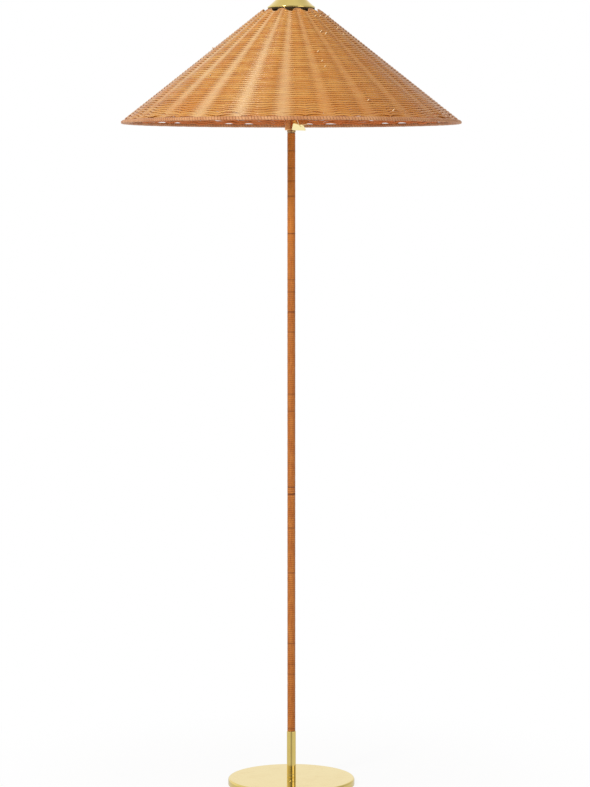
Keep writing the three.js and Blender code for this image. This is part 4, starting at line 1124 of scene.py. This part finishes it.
stakes = bmesh.new()
strand = stakes.verts.layers.float.new("strand")
for pair in range(0, STAKES, 2):
    for number, rod in enumerate(RODS):
        for vert in looped_stake(stakes, pair, *rod):
            vert[strand] = pair + number + 0.5
face_outwards(stakes)
place_piece("stakes", stakes, "shade", "rattan", stake_rattan, "stake_cage", sharp=60)

# %% [markdown]
# Here and there a new strand begins beside a stake. Its cut end pokes out a little and is paler than the skin. The
# places are read off the photograph, as degrees round from the first stake and millimetres up the slope.

# %% Cut ends
END_ROD, END_REACH, END_LEAN, END_RISE = 0.9 * MM, 4.7 * MM, 2.4 * MM, 0.6
CUT_ENDS = (
    (12.9, 185.3), (12.9, 157.5), (13.3, 141.5), (24.7, 245.6), (28.7, 240.0), (33, 21.3), (25.2, 48.3),
    (50.5, 239.8), (51.6, 257.6), (32, 291.2), (42.1, 292.1), (57.3, 292.2), (85.2, 296.9), (-47, 120),
    (-92, 205), (140, 96), (201, 178), (236, 64),
)
ends = bmesh.new()
strand = ends.verts.layers.float.new("strand")
for number, (degrees, along) in enumerate(CUT_ENDS):
    angle = math.radians(degrees)
    lean = END_LEAN / (SLOPE_RADIUS - along * MM * RUN)
    inner, outer = on_slope(angle - lean, along * MM, 0), on_slope(angle, (along + END_RISE) * MM, END_REACH)
    for vert in sweep(ends, [inner, outer], END_ROD, 10):
        vert[strand] = number + 300.5
face_outwards(ends)
place_piece("strand_ends", ends, "shade", "rattan", cut_rattan, sharp=60)

# %% [markdown]
# ## Rim
# The rim is a hoop with flat cane wound round it edge to edge, some 340 turns. The strip is wound as a long straight
# coil first, like the stem's. The coil is then squeezed to the hoop's section and bent into a ring that follows the
# slope, where its two ends meet and are merged.

# %% Rim
RIM_TURNS, RIM_STEPS, RIM_PITCH, RIM_THICKNESS = 344, 12, 1 * MM, 0.8 * MM
RIM_SWELL, RIM_SLOW, RIM_QUICK = 0.03, 17, 61
RIM_MIDDLE, RIM_HALF_HEIGHT, RIM_HALF_WIDTH = 0.9 * MM, 3.95 * MM, 2.9 * MM
rim = wind_strip(RIM_HALF_HEIGHT, RIM_PITCH, 0, RIM_TURNS, RIM_THICKNESS, RIM_STEPS)
for vert in rim.verts:
    angle = 2 * math.pi * (vert.co.z / RIM_PITCH / RIM_TURNS + 0.5)
    up, across = vert.co.x, vert.co.y * RIM_HALF_WIDTH / RIM_HALF_HEIGHT
    swell = 1 + RIM_SWELL * math.sin(RIM_QUICK * angle) * math.sin(RIM_SLOW * angle)
    vert.co = on_slope(angle, RIM_MIDDLE + up * swell, across * swell)
bmesh.ops.remove_doubles(rim, verts=rim.verts, dist=1e-6)
face_outwards(rim)
place_piece("rim", rim, "shade", "rim_cane", rim_cane, "rim_wrap", sharp=75)

# %% [markdown]
# ## Cap and finial
# The cap is spun brass with one shallow hollow curve from a thin lip to its neck, polished outside only. A low skirt
# inside the lip keeps it in the middle of the shade's top. The skirt and the underside are painted near black as
# painted shade, and show as black notches between the stake loops. The ball finial above the cap screws it down.

# %% Cap
CAP_LOW, CAP_TOP = span("shade_cap")
CAP_RADIUS, CAP_LIP, CAP_NECK, CAP_WALL = 42 * MM, 1.6 * MM, 8 * MM, 1 * MM
CAP_BORE, SKIRT_INSET, SKIRT_DROP = 3.3 * MM, 0.8 * MM, 3.4 * MM
BEND_OUT, BEND_UP = 0.46, 0.42
lip_point = Vector((CAP_RADIUS, CAP_LOW + CAP_LIP))
neck_point = Vector((CAP_NECK, CAP_TOP))
bend_point = Vector((CAP_NECK + BEND_OUT * (CAP_RADIUS - CAP_NECK), CAP_LOW + BEND_UP * (CAP_TOP - CAP_LOW)))
side = []
for t in (i / 24 for i in range(25)):
    side.append((1 - t) ** 2 * lip_point + 2 * t * (1 - t) * bend_point + t**2 * neck_point)
skirt_outer, skirt_inner = CAP_RADIUS - SKIRT_INSET, CAP_RADIUS - SKIRT_INSET - CAP_WALL
cap_outline = [
    (CAP_RADIUS, CAP_LOW),
    *[tuple(point) for point in side],
    (CAP_BORE, CAP_TOP),
    (CAP_BORE, CAP_TOP - CAP_WALL),
    *[(point.x - CAP_WALL - SKIRT_INSET, point.y - CAP_WALL) for point in reversed(side)],
    (skirt_inner, CAP_LOW - SKIRT_DROP),
    (skirt_outer, CAP_LOW - SKIRT_DROP),
    (skirt_outer, CAP_LOW),
]
cap = turned(cap_outline, 120, 0.2 * MM)
# Faces underneath and on the skirt get the near-black brass, as painted shade.
for face in cap.faces:
    middle = face.calc_center_median()
    under = face.normal.z < -0.3 or face.normal.xy.dot(middle.xy) < 0
    skirt = middle.z < CAP_LOW - 0.3 * MM
    face.material_index = int(skirt or under and middle.z > CAP_LOW + 0.4 * MM)
place_piece("flared_cap", cap, "cap", "brass", [brass, painted_shade_cap_brass], "shade_cap")

# %% Finial
FINIAL_LOW, FINIAL_TOP = span("finial")
BALL = 8 * MM
finial_outline = [
    *raised(FINIAL_LOW, (3.1, 0), (7, 0), (7, 1), (5.6, 2), (4.8, 4), (4.2, 7)),
    *arc((0, FINIAL_TOP - BALL), BALL, -52, 90, 24)[:-1],
    (0, FINIAL_TOP),
    *raised(FINIAL_LOW, (0, 12), (3.1, 12)),
]
place_piece("ball_finial", turned(finial_outline, 64, 0.2 * MM), "finial", "brass", brass, "finial")

# %% [markdown]
# ## Solids that stay
# The pieces deep inside the base, the stem and the lampholder keep their solids. They only get the finish of what they
# are made of, on the slots that their meshes already have.

# %% Finishes of the solids
KEPT = {
    iron: ("base_weight",),
    steel: ("base_washer", "base_nut", "lower_stem_tube", "upper_stem_tube", "stem_top_nut", "holder_nipple",
            "bulb_tip", "shade_spider"),
    inner_brass: ("stem_coupler", "centre_contact", "thread_sleeve", "bow_saddle", "carrier_stud", "cap_spacer"),
    rubber: ("cord_gland", "inner_cable"),
    plastic: ("switch_body",),
    ceramic: ("lampholder_core",),
    stake_rattan: ("rim_core",),
}
for material, names in KEPT.items():
    for node_name in names:
        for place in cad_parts[node_name].material_slots:
            place.material = material
print("solids kept:", sum(len(names) for names in KEPT.values()))
